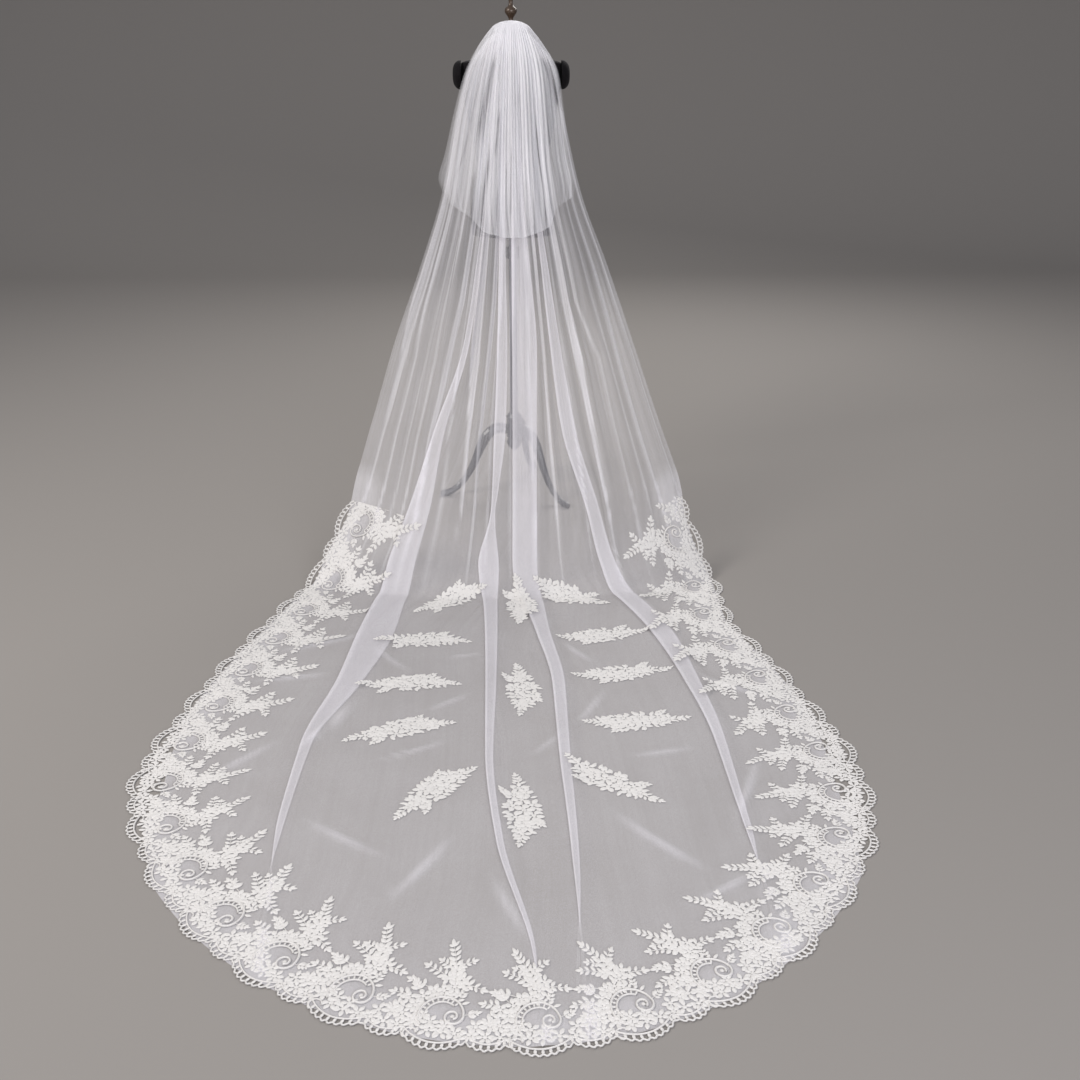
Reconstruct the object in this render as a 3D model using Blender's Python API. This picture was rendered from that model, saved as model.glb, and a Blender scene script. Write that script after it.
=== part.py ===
"""Two-tier cathedral bridal veil on a limbless dress form with a tripod stand.

Units are metres and +Z is up.  The veil hangs down the back of the form and its train lies on
the floor towards -Y.  Places on the cloth are given from the stand's own axis: x to the right,
reach towards the train, height above the floor.  place() turns them into world coordinates.
"""

from collections import namedtuple
import math

import bmesh
import bpy
import numpy as np

# ---------------------------------------------------------------- driving dimensions
STAND_X = 0.054            # stand axis in the part's frame, which centres the whole box
STAND_Y = 1.1359
CLOTH = 0.0015             # wall that stands for one layer of tulle
LACE = 0.0010              # wall that stands for lace sewn on the tulle
SEAM_GAP = 0.0003          # clearance between neighbouring pieces
ROWS_PER_SPAN = 2          # rows of the mesh between two sections

NECK_RADIUS = 0.0520
NECK_TOP = 1.4250
COMB_THICK = 0.0014
BAND_THICK = 0.0018
BAND_BOTTOM = 1.3930
BAND_TOP = 1.4280
COMB_TOP = 1.3990
COMB_SPINE = 0.0080
COMB_TOOTH = 0.0220
COMB_TEETH = 12
COMB_HALF_ANGLE = 46.0     # degrees either side of the nape
BAND_HALF_ANGLE = 52.0

# ---------------------------------------------------------------- tables
# One row for each cross-section of a tier, from its gathering to its hem.  The middle of the
# section is at reach_mid and height_mid, its two side edges at reach_side and height_side;
# left and right are the edges' distances from the stand axis, pleat is half a pleat's depth,
# layer the rise from one layer of a flat fold to the next, and lace the lace border's width.
Section = namedtuple("Section", "name reach_mid height_mid reach_side height_side left right pleat layer lace")
LONG_TIER = [
    Section("gather", 0.0571, 1.4250, 0.0243, 1.4250, 0.052, 0.052, 0.0000, 0.0008, 0.011),
    Section("nape", 0.0920, 1.3850, 0.0700, 1.3880, 0.088, 0.088, 0.0030, 0.0015, 0.02),
    Section("shoulder", 0.1280, 1.3300, 0.0880, 1.3350, 0.125, 0.125, 0.0050, 0.0025, 0.03),
    Section("blade", 0.1950, 1.2000, 0.1300, 1.2000, 0.165, 0.152, 0.0065, 0.0032, 0.04),
    Section("waist", 0.2970, 1.0000, 0.2050, 1.0000, 0.205, 0.197, 0.0080, 0.0035, 0.06),
    Section("seat", 0.3960, 0.8000, 0.2950, 0.8000, 0.271, 0.272, 0.0090, 0.0038, 0.09),
    Section("thigh", 0.5000, 0.6000, 0.3950, 0.6000, 0.347, 0.342, 0.0095, 0.0040, 0.13),
    Section("knee", 0.6080, 0.4000, 0.5000, 0.4000, 0.411, 0.410, 0.0085, 0.0040, 0.16),
    Section("calf", 0.7220, 0.2000, 0.6150, 0.2000, 0.480, 0.484, 0.0050, 0.0040, 0.19),
    Section("ankle", 0.8080, 0.0750, 0.6900, 0.0800, 0.550, 0.524, 0.0020, 0.0040, 0.21),
    Section("touch", 0.8850, 0.0000, 0.7750, 0.0000, 0.604, 0.566, 0.0000, 0.0040, 0.23),
    Section("train_1", 1.1000, 0.0000, 1.0000, 0.0000, 0.672, 0.562, 0.0000, 0.0040, 0.24),
    Section("train_2", 1.3600, 0.0000, 1.2400, 0.0000, 0.740, 0.625, 0.0000, 0.0040, 0.24),
    Section("train_3", 1.6600, 0.0000, 1.4800, 0.0000, 0.790, 0.677, 0.0000, 0.0036, 0.24),
    Section("train_4", 1.9700, 0.0000, 1.6400, 0.0000, 0.818, 0.712, 0.0000, 0.0030, 0.24),
    Section("lace_inner", 2.2750, 0.0000, 1.7650, 0.0000, 0.823, 0.715, 0.0000, 0.0000, 0.24),
    Section("hem", 2.5150, 0.0000, 1.9550, 0.0000, 0.762, 0.690, 0.0000, 0.0000, 0.24),
]
LACE_START = "calf"        # the lace border begins this far up the two side edges

SHORT_TIER = [
    Section("band", 0.0551, 1.4293, 0.0270, 1.4293, 0.048, 0.048, 0.0000, 0.0, 0.0),
    Section("rise", 0.0600, 1.4460, 0.0360, 1.4400, 0.050, 0.050, 0.0012, 0.0, 0.0),
    Section("crown", 0.0740, 1.4610, 0.0520, 1.4430, 0.054, 0.053, 0.0016, 0.0, 0.0),
    Section("roll", 0.0980, 1.4540, 0.0720, 1.4270, 0.069, 0.067, 0.0022, 0.0, 0.0),
    Section("fall", 0.1260, 1.4230, 0.0920, 1.3930, 0.096, 0.094, 0.0030, 0.0, 0.0),
    Section("shoulder", 0.1680, 1.3400, 0.1200, 1.3250, 0.134, 0.134, 0.0045, 0.0, 0.0),
    Section("blade", 0.2320, 1.2200, 0.1600, 1.2150, 0.168, 0.151, 0.0060, 0.0, 0.0),
    Section("waist", 0.2980, 1.0900, 0.2020, 1.1100, 0.194, 0.163, 0.0065, 0.0, 0.0),
    Section("low", 0.3500, 0.9800, 0.2380, 1.0400, 0.214, 0.180, 0.0065, 0.0, 0.0),
    Section("hem", 0.3900, 0.8950, 0.2600, 0.9950, 0.197, 0.178, 0.0060, 0.0, 0.0),
]

# One row for each section of the long tier: where the four flat folds have their left edge
# and how wide their three layers overlap.
Folds = namedtuple("Folds", "left_1 wide_1 left_2 wide_2 left_3 wide_3 left_4 wide_4")
FOLDS = [
    Folds(-0.022, 0.000, -0.009, 0.000, 0.005, 0.000, 0.020, 0.000),
    Folds(-0.038, 0.000, -0.016, 0.000, 0.008, 0.000, 0.033, 0.000),
    Folds(-0.052, 0.000, -0.021, 0.000, 0.006, 0.000, 0.042, 0.000),
    Folds(-0.066, 0.004, -0.027, 0.006, 0.000, 0.012, 0.049, 0.004),
    Folds(-0.080, 0.008, -0.034, 0.010, -0.004, 0.030, 0.058, 0.010),
    Folds(-0.108, 0.010, -0.042, 0.016, -0.006, 0.050, 0.078, 0.018),
    Folds(-0.146, 0.012, -0.049, 0.025, -0.007, 0.066, 0.100, 0.027),
    Folds(-0.225, 0.025, -0.060, 0.028, -0.009, 0.064, 0.127, 0.036),
    Folds(-0.300, 0.055, -0.072, 0.010, -0.012, 0.064, 0.192, 0.034),
    Folds(-0.355, 0.070, -0.108, 0.053, -0.014, 0.064, 0.225, 0.040),
    Folds(-0.383, 0.075, -0.096, 0.036, 0.010, 0.053, 0.265, 0.055),
    Folds(-0.415, 0.088, -0.088, 0.028, 0.045, 0.033, 0.335, 0.052),
    Folds(-0.440, 0.056, -0.085, 0.022, 0.074, 0.027, 0.385, 0.035),
    Folds(-0.485, 0.020, -0.083, 0.014, 0.076, 0.021, 0.418, 0.022),
    Folds(-0.490, 0.012, -0.060, 0.012, 0.083, 0.013, 0.424, 0.014),
    Folds(-0.470, 0.000, 0.000, 0.000, 0.085, 0.000, 0.430, 0.000),
    Folds(-0.450, 0.000, 0.020, 0.000, 0.085, 0.000, 0.430, 0.000),
]
FOLD_COLUMNS = 6           # mesh columns that turn one flat fold
PANEL_CELLS = [7, 6, 4, 6, 7]   # mesh cells across the cloth between folds, left to right
LACE_CELLS = 3             # of the first and last panel's cells, those under the lace border
SHORT_CELLS = 22
FULLY_FOLDED = 0.012       # overlap above which a fold's layers lie flat on each other
UNROLLED_STEP = 0.004      # column spacing where a fold has opened out
UNROLLED_SHARE = 0.016     # the same as a share of the section's width, where that is less
LACE_SHARE = 0.85          # the most of an edge panel that the lace's columns may take
SQUARE_PART = 0.78         # share of a section's sag that grows with the square of the distance

# One row for each lace spray on the train: its middle, and its long axis' turn from +X.
Spray = namedtuple("Spray", "name panel x reach turn length")
SPRAYS = [
    Spray("spray_01", 1, -0.190, 0.880, 30, 0.205),
    Spray("spray_02", 3, 0.003, 0.912, -90, 0.205),
    Spray("spray_03", 3, 0.140, 0.866, -27, 0.205),
    Spray("spray_04", 1, -0.249, 1.112, -3, 0.228),
    Spray("spray_05", 3, 0.215, 1.096, 7, 0.222),
    Spray("spray_06", 1, -0.270, 1.337, -1, 0.230),
    Spray("spray_07", 3, 0.246, 1.301, 5, 0.229),
    Spray("spray_08", 2, -0.001, 1.371, -90, 0.232),
    Spray("spray_09", 1, -0.279, 1.549, 15, 0.236),
    Spray("spray_10", 3, 0.258, 1.529, 1, 0.226),
    Spray("spray_11", 1, -0.190, 1.794, 48, 0.225),
    Spray("spray_12", 3, 0.177, 1.768, -44, 0.241),
    Spray("spray_13", 2, -0.010, 1.861, -90, 0.236),
]
SPRAY_WIDTH = 0.085
SPRAY_LOBES = 4
SPRAY_TO_FOLD = 0.0015     # how near a spray comes to the fold that hides the cloth beside it

# One row for each level of the torso: height, half its width, half its depth.
Level = namedtuple("Level", "height half_width half_depth")
TORSO = [
    Level(0.8620, 0.126, 0.092),
    Level(0.9000, 0.129, 0.096),
    Level(0.9700, 0.120, 0.090),
    Level(1.0500, 0.106, 0.080),
    Level(1.1400, 0.122, 0.090),
    Level(1.2200, 0.137, 0.098),
    Level(1.2900, 0.149, 0.090),
    Level(1.3230, 0.149, 0.079),
    Level(1.3430, 0.148, 0.067),
    Level(1.3530, 0.118, 0.058),
    Level(1.3600, 0.064, 0.0535),
    Level(1.3660, NECK_RADIUS, NECK_RADIUS),
    Level(NECK_TOP, NECK_RADIUS, NECK_RADIUS),
]

# Arm caps: how far out from the torso each ring is, and its size as a share of the first one.
ARM_CAP = [(0.0, 1.0), (0.008, 0.97), (0.016, 0.84), (0.022, 0.60), (0.0245, 0.22)]
ARM_HEIGHT = 1.311
ARM_HALF_HEIGHT = 0.041
ARM_HALF_DEPTH = 0.046
ARM_TAPER = 0.18           # how much narrower a cap is at its lowest point
ARM_SIDES = 20
PLATE_BOTTOM = 0.8457
PLATE_ROUND = 0.0040       # the base plate's lower edge is this much smaller all round
PLATE_WIDEST = 0.8490

# Turned pieces: radius and height down the outside.
FINIAL = [(0.0, 1.5620), (0.0090, 1.5590), (0.0145, 1.5500), (0.0150, 1.5410), (0.0115, 1.5300),
          (0.0066, 1.5190), (0.0058, 1.5080), (0.0090, 1.4990), (0.0165, 1.4930), (0.0180, 1.4870),
          (0.0160, 1.4800), (0.0100, 1.4720), (0.0065, 1.4650), (0.0065, 1.4560), (0.0200, 1.4510),
          (0.0230, 1.4440), (0.0, 1.4440)]
NECK_CAP = [(0.0, 1.4437), (0.0440, 1.4437), (0.0490, 1.4400), (0.0500, 1.4340), (0.0470, 1.4253),
            (0.0, 1.4253)]
POLE = [(0.0, 0.8454), (0.0120, 0.8454), (0.0120, 0.2680), (0.0, 0.2680)]
COLLAR = [(0.0126, 0.8080), (0.0210, 0.8080), (0.0230, 0.8040), (0.0230, 0.7760), (0.0210, 0.7720),
          (0.0126, 0.7720)]
HUB = [(0.0, 0.2677), (0.0180, 0.2677), (0.0260, 0.2560), (0.0230, 0.2480), (0.0240, 0.2400),
       (0.0240, 0.1900), (0.0200, 0.1820), (0.0250, 0.1700), (0.0200, 0.1560), (0.0090, 0.1440),
       (0.0, 0.1400)]
HUB_RADIUS = 0.0240

# One row for each station of a cabriole leg: distance from the axis, height, half-thickness.
Station = namedtuple("Station", "out height half")
LEG = [
    Station(HUB_RADIUS + SEAM_GAP, 0.215, 0.0160),
    Station(0.050, 0.222, 0.0170),
    Station(0.080, 0.210, 0.0175),
    Station(0.105, 0.178, 0.0165),
    Station(0.124, 0.138, 0.0140),
    Station(0.143, 0.096, 0.0120),
    Station(0.166, 0.058, 0.0105),
    Station(0.194, 0.029, 0.0100),
    Station(0.222, 0.013, 0.0110),
    Station(0.240, 0.009, 0.0120),
    Station(0.252, 0.008, 0.0090),
]
LEG_TURNS = [-90 - 77, -90 + 43, -90 + 163]   # degrees from +X, seen from above
LEG_SIDES = 10
LEG_FLATNESS = 0.85        # a leg's width as a share of its height
TURNED_SIDES = 20
TORSO_SIDES = 24


# ---------------------------------------------------------------- helpers
def clear_scene():
    """Remove every object that the file came with."""
    for old in list(bpy.data.objects):
        bpy.data.objects.remove(old, do_unlink=True)


def make_material(name, colour, roughness, metallic=0.0, alpha=1.0):
    """A Principled material of one plain colour."""
    material = bpy.data.materials.new(name)
    material.use_nodes = True
    shader = material.node_tree.nodes["Principled BSDF"]
    shader.inputs["Base Color"].default_value = (*colour, 1.0)
    shader.inputs["Roughness"].default_value = roughness
    shader.inputs["Metallic"].default_value = metallic
    shader.inputs["Alpha"].default_value = alpha
    return material


def place(x, reach, height):
    """World coordinates of a place given from the stand's axis."""
    return (STAND_X + x, STAND_Y - reach, height)


def add_object(name, verts, faces, material, smooth=True):
    """One named object from world points and faces, with its normals facing outwards."""
    mesh = bpy.data.meshes.new(name)
    mesh.from_pydata([tuple(v) for v in verts], [], faces)
    work = bmesh.new()
    work.from_mesh(mesh)
    bmesh.ops.recalc_face_normals(work, faces=work.faces)
    bmesh.ops.triangulate(work, faces=work.faces)
    work.to_mesh(mesh)
    work.free()
    if smooth:
        mesh.shade_smooth()
        mesh.set_sharp_from_angle(angle=math.radians(40))
    mesh.materials.append(material)
    thing = bpy.data.objects.new(name, mesh)
    bpy.context.collection.objects.link(thing)
    return thing


def eased(values, at):
    """Smooth curve through evenly numbered values that never overshoots them."""
    values = np.asarray(values, float)
    at = np.asarray(at, float)
    steps = np.diff(values)
    slopes = np.zeros(len(values))
    slopes[0], slopes[-1] = steps[0], steps[-1]
    for i in range(1, len(values) - 1):
        if steps[i - 1] * steps[i] > 0:
            slopes[i] = 2 * steps[i - 1] * steps[i] / (steps[i - 1] + steps[i])
    low = np.clip(np.floor(at).astype(int), 0, len(values) - 2)
    f = at - low
    return ((2 * f**3 - 3 * f**2 + 1) * values[low] + (f**3 - 2 * f**2 + f) * slopes[low]
            + (3 * f**2 - 2 * f**3) * values[low + 1] + (f**3 - f**2) * slopes[low + 1])


def smooth_step(f):
    """0 to 1, level at both ends."""
    f = np.clip(f, 0.0, 1.0)
    return f * f * (3 - 2 * f)


# ---------------------------------------------------------------- cloth surfaces
def tier_point(sections, x, at):
    """A place on the smooth tier, before pleats: x across it, at = section number."""
    row = {key: eased([getattr(s, key) for s in sections], at)
           for key in ("reach_mid", "height_mid", "reach_side", "height_side", "left", "right")}
    s = np.where(x < 0, -x / row["left"], x / row["right"])
    drop = SQUARE_PART * s**2 + (1 - SQUARE_PART) * s**6
    return np.stack([x + 0 * s,
                     row["reach_mid"] + (row["reach_side"] - row["reach_mid"]) * drop,
                     row["height_mid"] + (row["height_side"] - row["height_mid"]) * drop], -1)


def tier_normal(sections, x, at):
    """Outward direction of the smooth tier."""
    last = len(sections) - 1
    side = 0.002
    along = tier_point(sections, x, np.minimum(at + 0.05, last)) - tier_point(sections, x, np.maximum(at - 0.05, 0))
    across = tier_point(sections, x + side, at) - tier_point(sections, x - side, at)
    normal = np.cross(across, along)
    return normal / np.linalg.norm(normal, axis=-1, keepdims=True)


def row_numbers(sections):
    """Section numbers of the mesh rows."""
    count = (len(sections) - 1) * ROWS_PER_SPAN + 1
    return np.linspace(0, len(sections) - 1, count)


def long_tier_row(at):
    """x and lift of every mesh column of the long tier at one row, left to right."""
    value = {key: float(eased([getattr(s, key) for s in LONG_TIER], at))
             for key in ("left", "right", "pleat", "layer", "lace")}
    xs, lifts = [], []
    step = min(UNROLLED_STEP, UNROLLED_SHARE * (value["left"] + value["right"]))
    start = -value["left"]
    start_lift = 0.0
    for panel, cells in enumerate(PANEL_CELLS):
        last_panel = panel == len(PANEL_CELLS) - 1
        if last_panel:
            end = value["right"]
        else:
            fold_left = float(eased([getattr(f, f"left_{panel + 1}") for f in FOLDS], at))
            wide = float(eased([getattr(f, f"wide_{panel + 1}") for f in FOLDS], at))
            folded = smooth_step(wide / FULLY_FOLDED)
            fold_right = fold_left + wide
            end = fold_right - FOLD_COLUMNS * step * (1 - folded)
        for cell in range(cells + 1):
            part = cell / cells
            x = start + (end - start) * part
            if panel == 0 and cell <= LACE_CELLS:
                x = start + min(value["lace"], LACE_SHARE * (end - start)) * cell / LACE_CELLS
            elif panel == 0:
                inner = start + min(value["lace"], LACE_SHARE * (end - start))
                x = inner + (end - inner) * (cell - LACE_CELLS) / (cells - LACE_CELLS)
            if last_panel and cells - cell <= LACE_CELLS:
                x = end - min(value["lace"], LACE_SHARE * (end - start)) * (cells - cell) / LACE_CELLS
            elif last_panel:
                inner = end - min(value["lace"], LACE_SHARE * (end - start))
                x = start + (inner - start) * cell / (cells - LACE_CELLS)
            pleat = value["pleat"] * (-1) ** cell if 0 < cell < cells else 0.0
            if cell == cells and not last_panel:
                break                      # the fold's own first column stands here
            xs.append(x)
            lifts.append(start_lift if cell == 0 else pleat)
        if last_panel:
            break
        gap = value["layer"]
        turn = [(fold_right, 0.0), (fold_right + gap / 2, 0.5), (fold_right, 1.0), (fold_left, 1.0),
                (fold_left - gap / 2, 1.5), (fold_left, 2.0)]
        for number, (folded_x, layers) in enumerate(turn):
            open_x = fold_right + (number - FOLD_COLUMNS) * step
            open_layers = 2.0 * number / (FOLD_COLUMNS - 1)
            xs.append(open_x + (folded_x - open_x) * folded)
            lifts.append(gap * (open_layers + (layers - open_layers) * folded))
        start = fold_right
        start_lift = 2 * gap
    return np.array(xs), np.array(lifts)


def long_tier_grid():
    """Grid of the long tier's middle surface, rows by columns."""
    grid = []
    for at in row_numbers(LONG_TIER):
        xs, lifts = long_tier_row(at)
        points = tier_point(LONG_TIER, xs, at)
        points = points + tier_normal(LONG_TIER, xs, at) * lifts[:, None]
        points[:, 2] += CLOTH / 2
        grid.append(points)
    return np.array(grid)


def short_tier_grid():
    """Grid of the short tier's middle surface."""
    grid = []
    for at in row_numbers(SHORT_TIER):
        value = {key: float(eased([getattr(s, key) for s in SHORT_TIER], at)) for key in ("left", "right", "pleat")}
        columns = np.arange(SHORT_CELLS + 1)
        xs = -value["left"] + (value["left"] + value["right"]) * columns / SHORT_CELLS
        lifts = value["pleat"] * (-1.0) ** columns
        lifts[[0, -1]] = 0.0
        points = tier_point(SHORT_TIER, xs, at) + tier_normal(SHORT_TIER, xs, at) * lifts[:, None]
        grid.append(points)
    return np.array(grid)


def grid_normals(grid):
    """Outward direction at each grid point, from the triangles round it."""
    a, b = grid[:-1, :-1], grid[:-1, 1:]
    c, d = grid[1:, 1:], grid[1:, :-1]
    first = np.cross(b - a, c - a)
    second = np.cross(c - a, d - a)
    total = np.zeros_like(grid)
    for triangle, corners in ((first, ((0, 0), (0, 1), (1, 1))), (second, ((0, 0), (1, 1), (1, 0)))):
        unit = triangle / np.linalg.norm(triangle, axis=-1, keepdims=True)
        for down, right in corners:
            rows = slice(down, down + unit.shape[0])
            columns = slice(right, right + unit.shape[1])
            total[rows, columns] += unit
    return total / np.linalg.norm(total, axis=-1, keepdims=True)


def wall_mesh(grid, normals, cells, low, high):
    """Closed wall over some cells of a grid, between two distances from its middle surface."""
    used = sorted({(r + dr, c + dc) for r, c in cells for dr in (0, 1) for dc in (0, 1)})
    number = {corner: i for i, corner in enumerate(used)}
    count = len(used)
    verts = []
    for distance in (low, high):
        verts += [place(*(grid[corner] + normals[corner] * distance)) for corner in used]
    faces = []
    sides = {}
    for r, c in cells:
        a, b = number[(r, c)], number[(r, c + 1)]
        d, e = number[(r + 1, c + 1)], number[(r + 1, c)]
        for triangle in ((a, b, d), (a, d, e)):
            faces.append(tuple(count + i for i in triangle))
            faces.append(tuple(reversed(triangle)))
        for side in ((a, b), (b, d), (d, e), (e, a)):
            if side[::-1] in sides:
                del sides[side[::-1]]
            else:
                sides[side] = True
    for first, second in sides:
        faces.append((first, second, count + second))
        faces.append((first, count + second, count + first))
    return verts, faces


def all_cells(grid):
    """Every cell of a grid."""
    return [(r, c) for r in range(grid.shape[0] - 1) for c in range(grid.shape[1] - 1)]


def panel_columns(panel):
    """First and last mesh column of one panel of the long tier."""
    first = sum(PANEL_CELLS[:panel]) + FOLD_COLUMNS * panel
    return first, first + PANEL_CELLS[panel]


# ---------------------------------------------------------------- veil pieces
def build_tiers(tulle):
    """The two layers of tulle; returns the long tier's grid and normals for the lace."""
    grid = long_tier_grid()
    normals = grid_normals(grid)
    verts, faces = wall_mesh(grid, normals, all_cells(grid), -CLOTH / 2, CLOTH / 2)
    add_object("long_tier", verts, faces, tulle)
    short = short_tier_grid()
    verts, faces = wall_mesh(short, grid_normals(short), all_cells(short), -CLOTH / 2, CLOTH / 2)
    add_object("short_tier", verts, faces, tulle)
    return grid, normals


def build_border(grid, normals, lace):
    """Lace border sewn along the hem and a little way up both side edges."""
    first_row = [s.name for s in LONG_TIER].index(LACE_START) * ROWS_PER_SPAN
    hem_row = [s.name for s in LONG_TIER].index("lace_inner") * ROWS_PER_SPAN
    columns = grid.shape[1] - 1
    cells = [(r, c) for r, c in all_cells(grid)
             if r >= hem_row or (r >= first_row and (c < LACE_CELLS or c >= columns - LACE_CELLS))]
    low = CLOTH / 2 + SEAM_GAP
    verts, faces = wall_mesh(grid, normals, cells, low, low + LACE)
    add_object("lace_border", verts, faces, lace)


def build_spray(grid, normals, spray, lace):
    """One lace spray: the tulle's own surface, moved out and cut to a lobed leaf shape."""
    first, last = panel_columns(spray.panel)
    first -= 1                             # the top layer of the fold on the panel's left
    next_fold = grid[:, last + FOLD_COLUMNS - 2, 0] - SPRAY_TO_FOLD
    reach = grid[:, first:last, 1].mean(axis=1)
    rows = [r for r in range(grid.shape[0] - 1)
            if reach[r + 1] > spray.reach - spray.length and reach[r] < spray.reach + spray.length]
    cells = [(r, c) for r in rows for c in range(first, last)
             if grid[r, c + 1, 0] < next_fold[r] and grid[r + 1, c + 1, 0] < next_fold[r + 1]]
    low = CLOTH / 2 + SEAM_GAP
    verts, faces = wall_mesh(grid, normals, cells, low, low + LACE)
    patch = add_object(spray.name, verts, faces, lace, smooth=False)

    turn = math.radians(spray.turn)
    outline = []
    for step in range(6 * SPRAY_LOBES):
        angle = 2 * math.pi * step / (6 * SPRAY_LOBES)
        swell = 0.92 + 0.08 * math.cos(2 * SPRAY_LOBES * angle)
        long_way = 0.5 * spray.length * swell * math.cos(angle)
        short_way = 0.5 * SPRAY_WIDTH * swell * math.sin(angle)
        x = spray.x + long_way * math.cos(turn) - short_way * math.sin(turn)
        reach_here = spray.reach - long_way * math.sin(turn) - short_way * math.cos(turn)
        outline.append((x, reach_here))
    count = len(outline)
    verts = [place(x, r, z) for z in (-0.02, 0.20) for x, r in outline]
    faces = [tuple(range(count)), tuple(range(2 * count - 1, count - 1, -1))]
    faces += [(i, (i + 1) % count, count + (i + 1) % count, count + i) for i in range(count)]
    cutter = add_object(spray.name + "_outline", verts, faces, lace, smooth=False)
    cutter.hide_render = True
    cutter.display_type = "WIRE"
    cut = patch.modifiers.new("outline", "BOOLEAN")
    cut.operation = "INTERSECT"
    cut.object = cutter


def ring_sector(radius, thick, bottom, top, half_angle, cells):
    """Closed curved strip round the back of the neck; angles run from -half to +half."""
    verts, faces = [], []
    for i in range(cells + 1):
        angle = math.radians(-half_angle + 2 * half_angle * i / cells)
        for r, z in ((radius, bottom), (radius + thick, bottom), (radius + thick, top), (radius, top)):
            verts.append(place(r * math.sin(angle), r * math.cos(angle), z))
    for i in range(cells):
        for k in range(4):
            faces.append((4 * i + k, 4 * i + (k + 1) % 4, 4 * i + 4 + (k + 1) % 4, 4 * i + 4 + k))
    faces += [(0, 1, 2, 3), (4 * cells + 3, 4 * cells + 2, 4 * cells + 1, 4 * cells)]
    return verts, faces


def build_comb(metal, band_cloth):
    """Hair comb that lies against the neck, and the band both tiers are gathered to."""
    verts, faces = ring_sector(NECK_RADIUS + SEAM_GAP + COMB_THICK + SEAM_GAP, BAND_THICK,
                               BAND_BOTTOM, BAND_TOP, BAND_HALF_ANGLE, 16)
    add_object("gather_band", verts, faces, band_cloth)

    # The comb is one body: a spine whose lower side steps down at every other cell for a tooth.
    cells = 2 * COMB_TEETH - 1
    inner = NECK_RADIUS + SEAM_GAP
    verts, faces = [], []
    for i in range(cells + 1):
        angle = math.radians(-COMB_HALF_ANGLE + 2 * COMB_HALF_ANGLE * i / cells)
        for z in (COMB_TOP, COMB_TOP - COMB_SPINE, COMB_TOP - COMB_SPINE - COMB_TOOTH):
            for r in (inner, inner + COMB_THICK):
                verts.append(place(r * math.sin(angle), r * math.cos(angle), z))
    for i in range(cells):
        a, b = 6 * i, 6 * i + 6
        faces += [(a, a + 2, b + 2, b), (a + 1, b + 1, b + 3, a + 3), (a, b, b + 1, a + 1)]
        if i % 2 == 0:
            faces += [(a + 2, a + 4, b + 4, b + 2), (a + 3, b + 3, b + 5, a + 5), (a + 4, a + 5, b + 5, b + 4)]
            faces += [(a + 2, a + 3, a + 5, a + 4), (b + 2, b + 4, b + 5, b + 3)]
        else:
            faces += [(a + 2, a + 3, b + 3, b + 2)]
    end = 6 * cells
    faces += [(0, 1, 3, 2), (end, end + 2, end + 3, end + 1)]
    add_object("comb", verts, faces, metal, smooth=False)


# ---------------------------------------------------------------- dress form and stand
def turned(name, profile, material, sides=TURNED_SIDES):
    """Solid of revolution about the stand axis; a profile off the axis makes a ring."""
    closed_ring = profile[0][0] > 0
    verts, faces, rings = [], [], []
    for radius, height in profile:
        if radius == 0:
            rings.append([len(verts)])
            verts.append(place(0, 0, height))
        else:
            rings.append(list(range(len(verts), len(verts) + sides)))
            for i in range(sides):
                angle = 2 * math.pi * i / sides
                verts.append(place(radius * math.cos(angle), radius * math.sin(angle), height))
    pairs = list(zip(rings, rings[1:]))
    if closed_ring:
        pairs.append((rings[-1], rings[0]))
    for upper, lower in pairs:
        for i in range(sides):
            j = (i + 1) % sides
            if len(upper) == 1:
                faces.append((upper[0], lower[i], lower[j]))
            elif len(lower) == 1:
                faces.append((upper[i], lower[0], upper[j]))
            else:
                faces.append((upper[i], lower[i], lower[j], upper[j]))
    return add_object(name, verts, faces, material)


def torso_ring(level):
    """Oval section of the torso."""
    ring = []
    for i in range(TORSO_SIDES):
        angle = 2 * math.pi * i / TORSO_SIDES
        ring.append((level.half_width * math.cos(angle), level.half_depth * math.sin(angle), level.height))
    return ring


def lofted(name, levels, material):
    """Closed loft through oval levels with flat ends."""
    verts = [place(*p) for level in levels for p in torso_ring(level)]
    faces = [tuple(range(TORSO_SIDES))]
    for k in range(len(levels) - 1):
        for i in range(TORSO_SIDES):
            j = (i + 1) % TORSO_SIDES
            faces.append((k * TORSO_SIDES + i, k * TORSO_SIDES + j,
                          (k + 1) * TORSO_SIDES + j, (k + 1) * TORSO_SIDES + i))
    top = (len(levels) - 1) * TORSO_SIDES
    faces.append(tuple(range(top, top + TORSO_SIDES)))
    add_object(name, verts, faces, material)


def torso_levels():
    """The torso's levels with three smooth ones between each two of the lower, larger ones."""
    levels = []
    for at in np.linspace(0, len(TORSO) - 1, 2 * (len(TORSO) - 1) + 1):
        levels.append(Level(*[float(eased([getattr(t, key) for t in TORSO], at)) for key in Level._fields]))
    return levels


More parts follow.
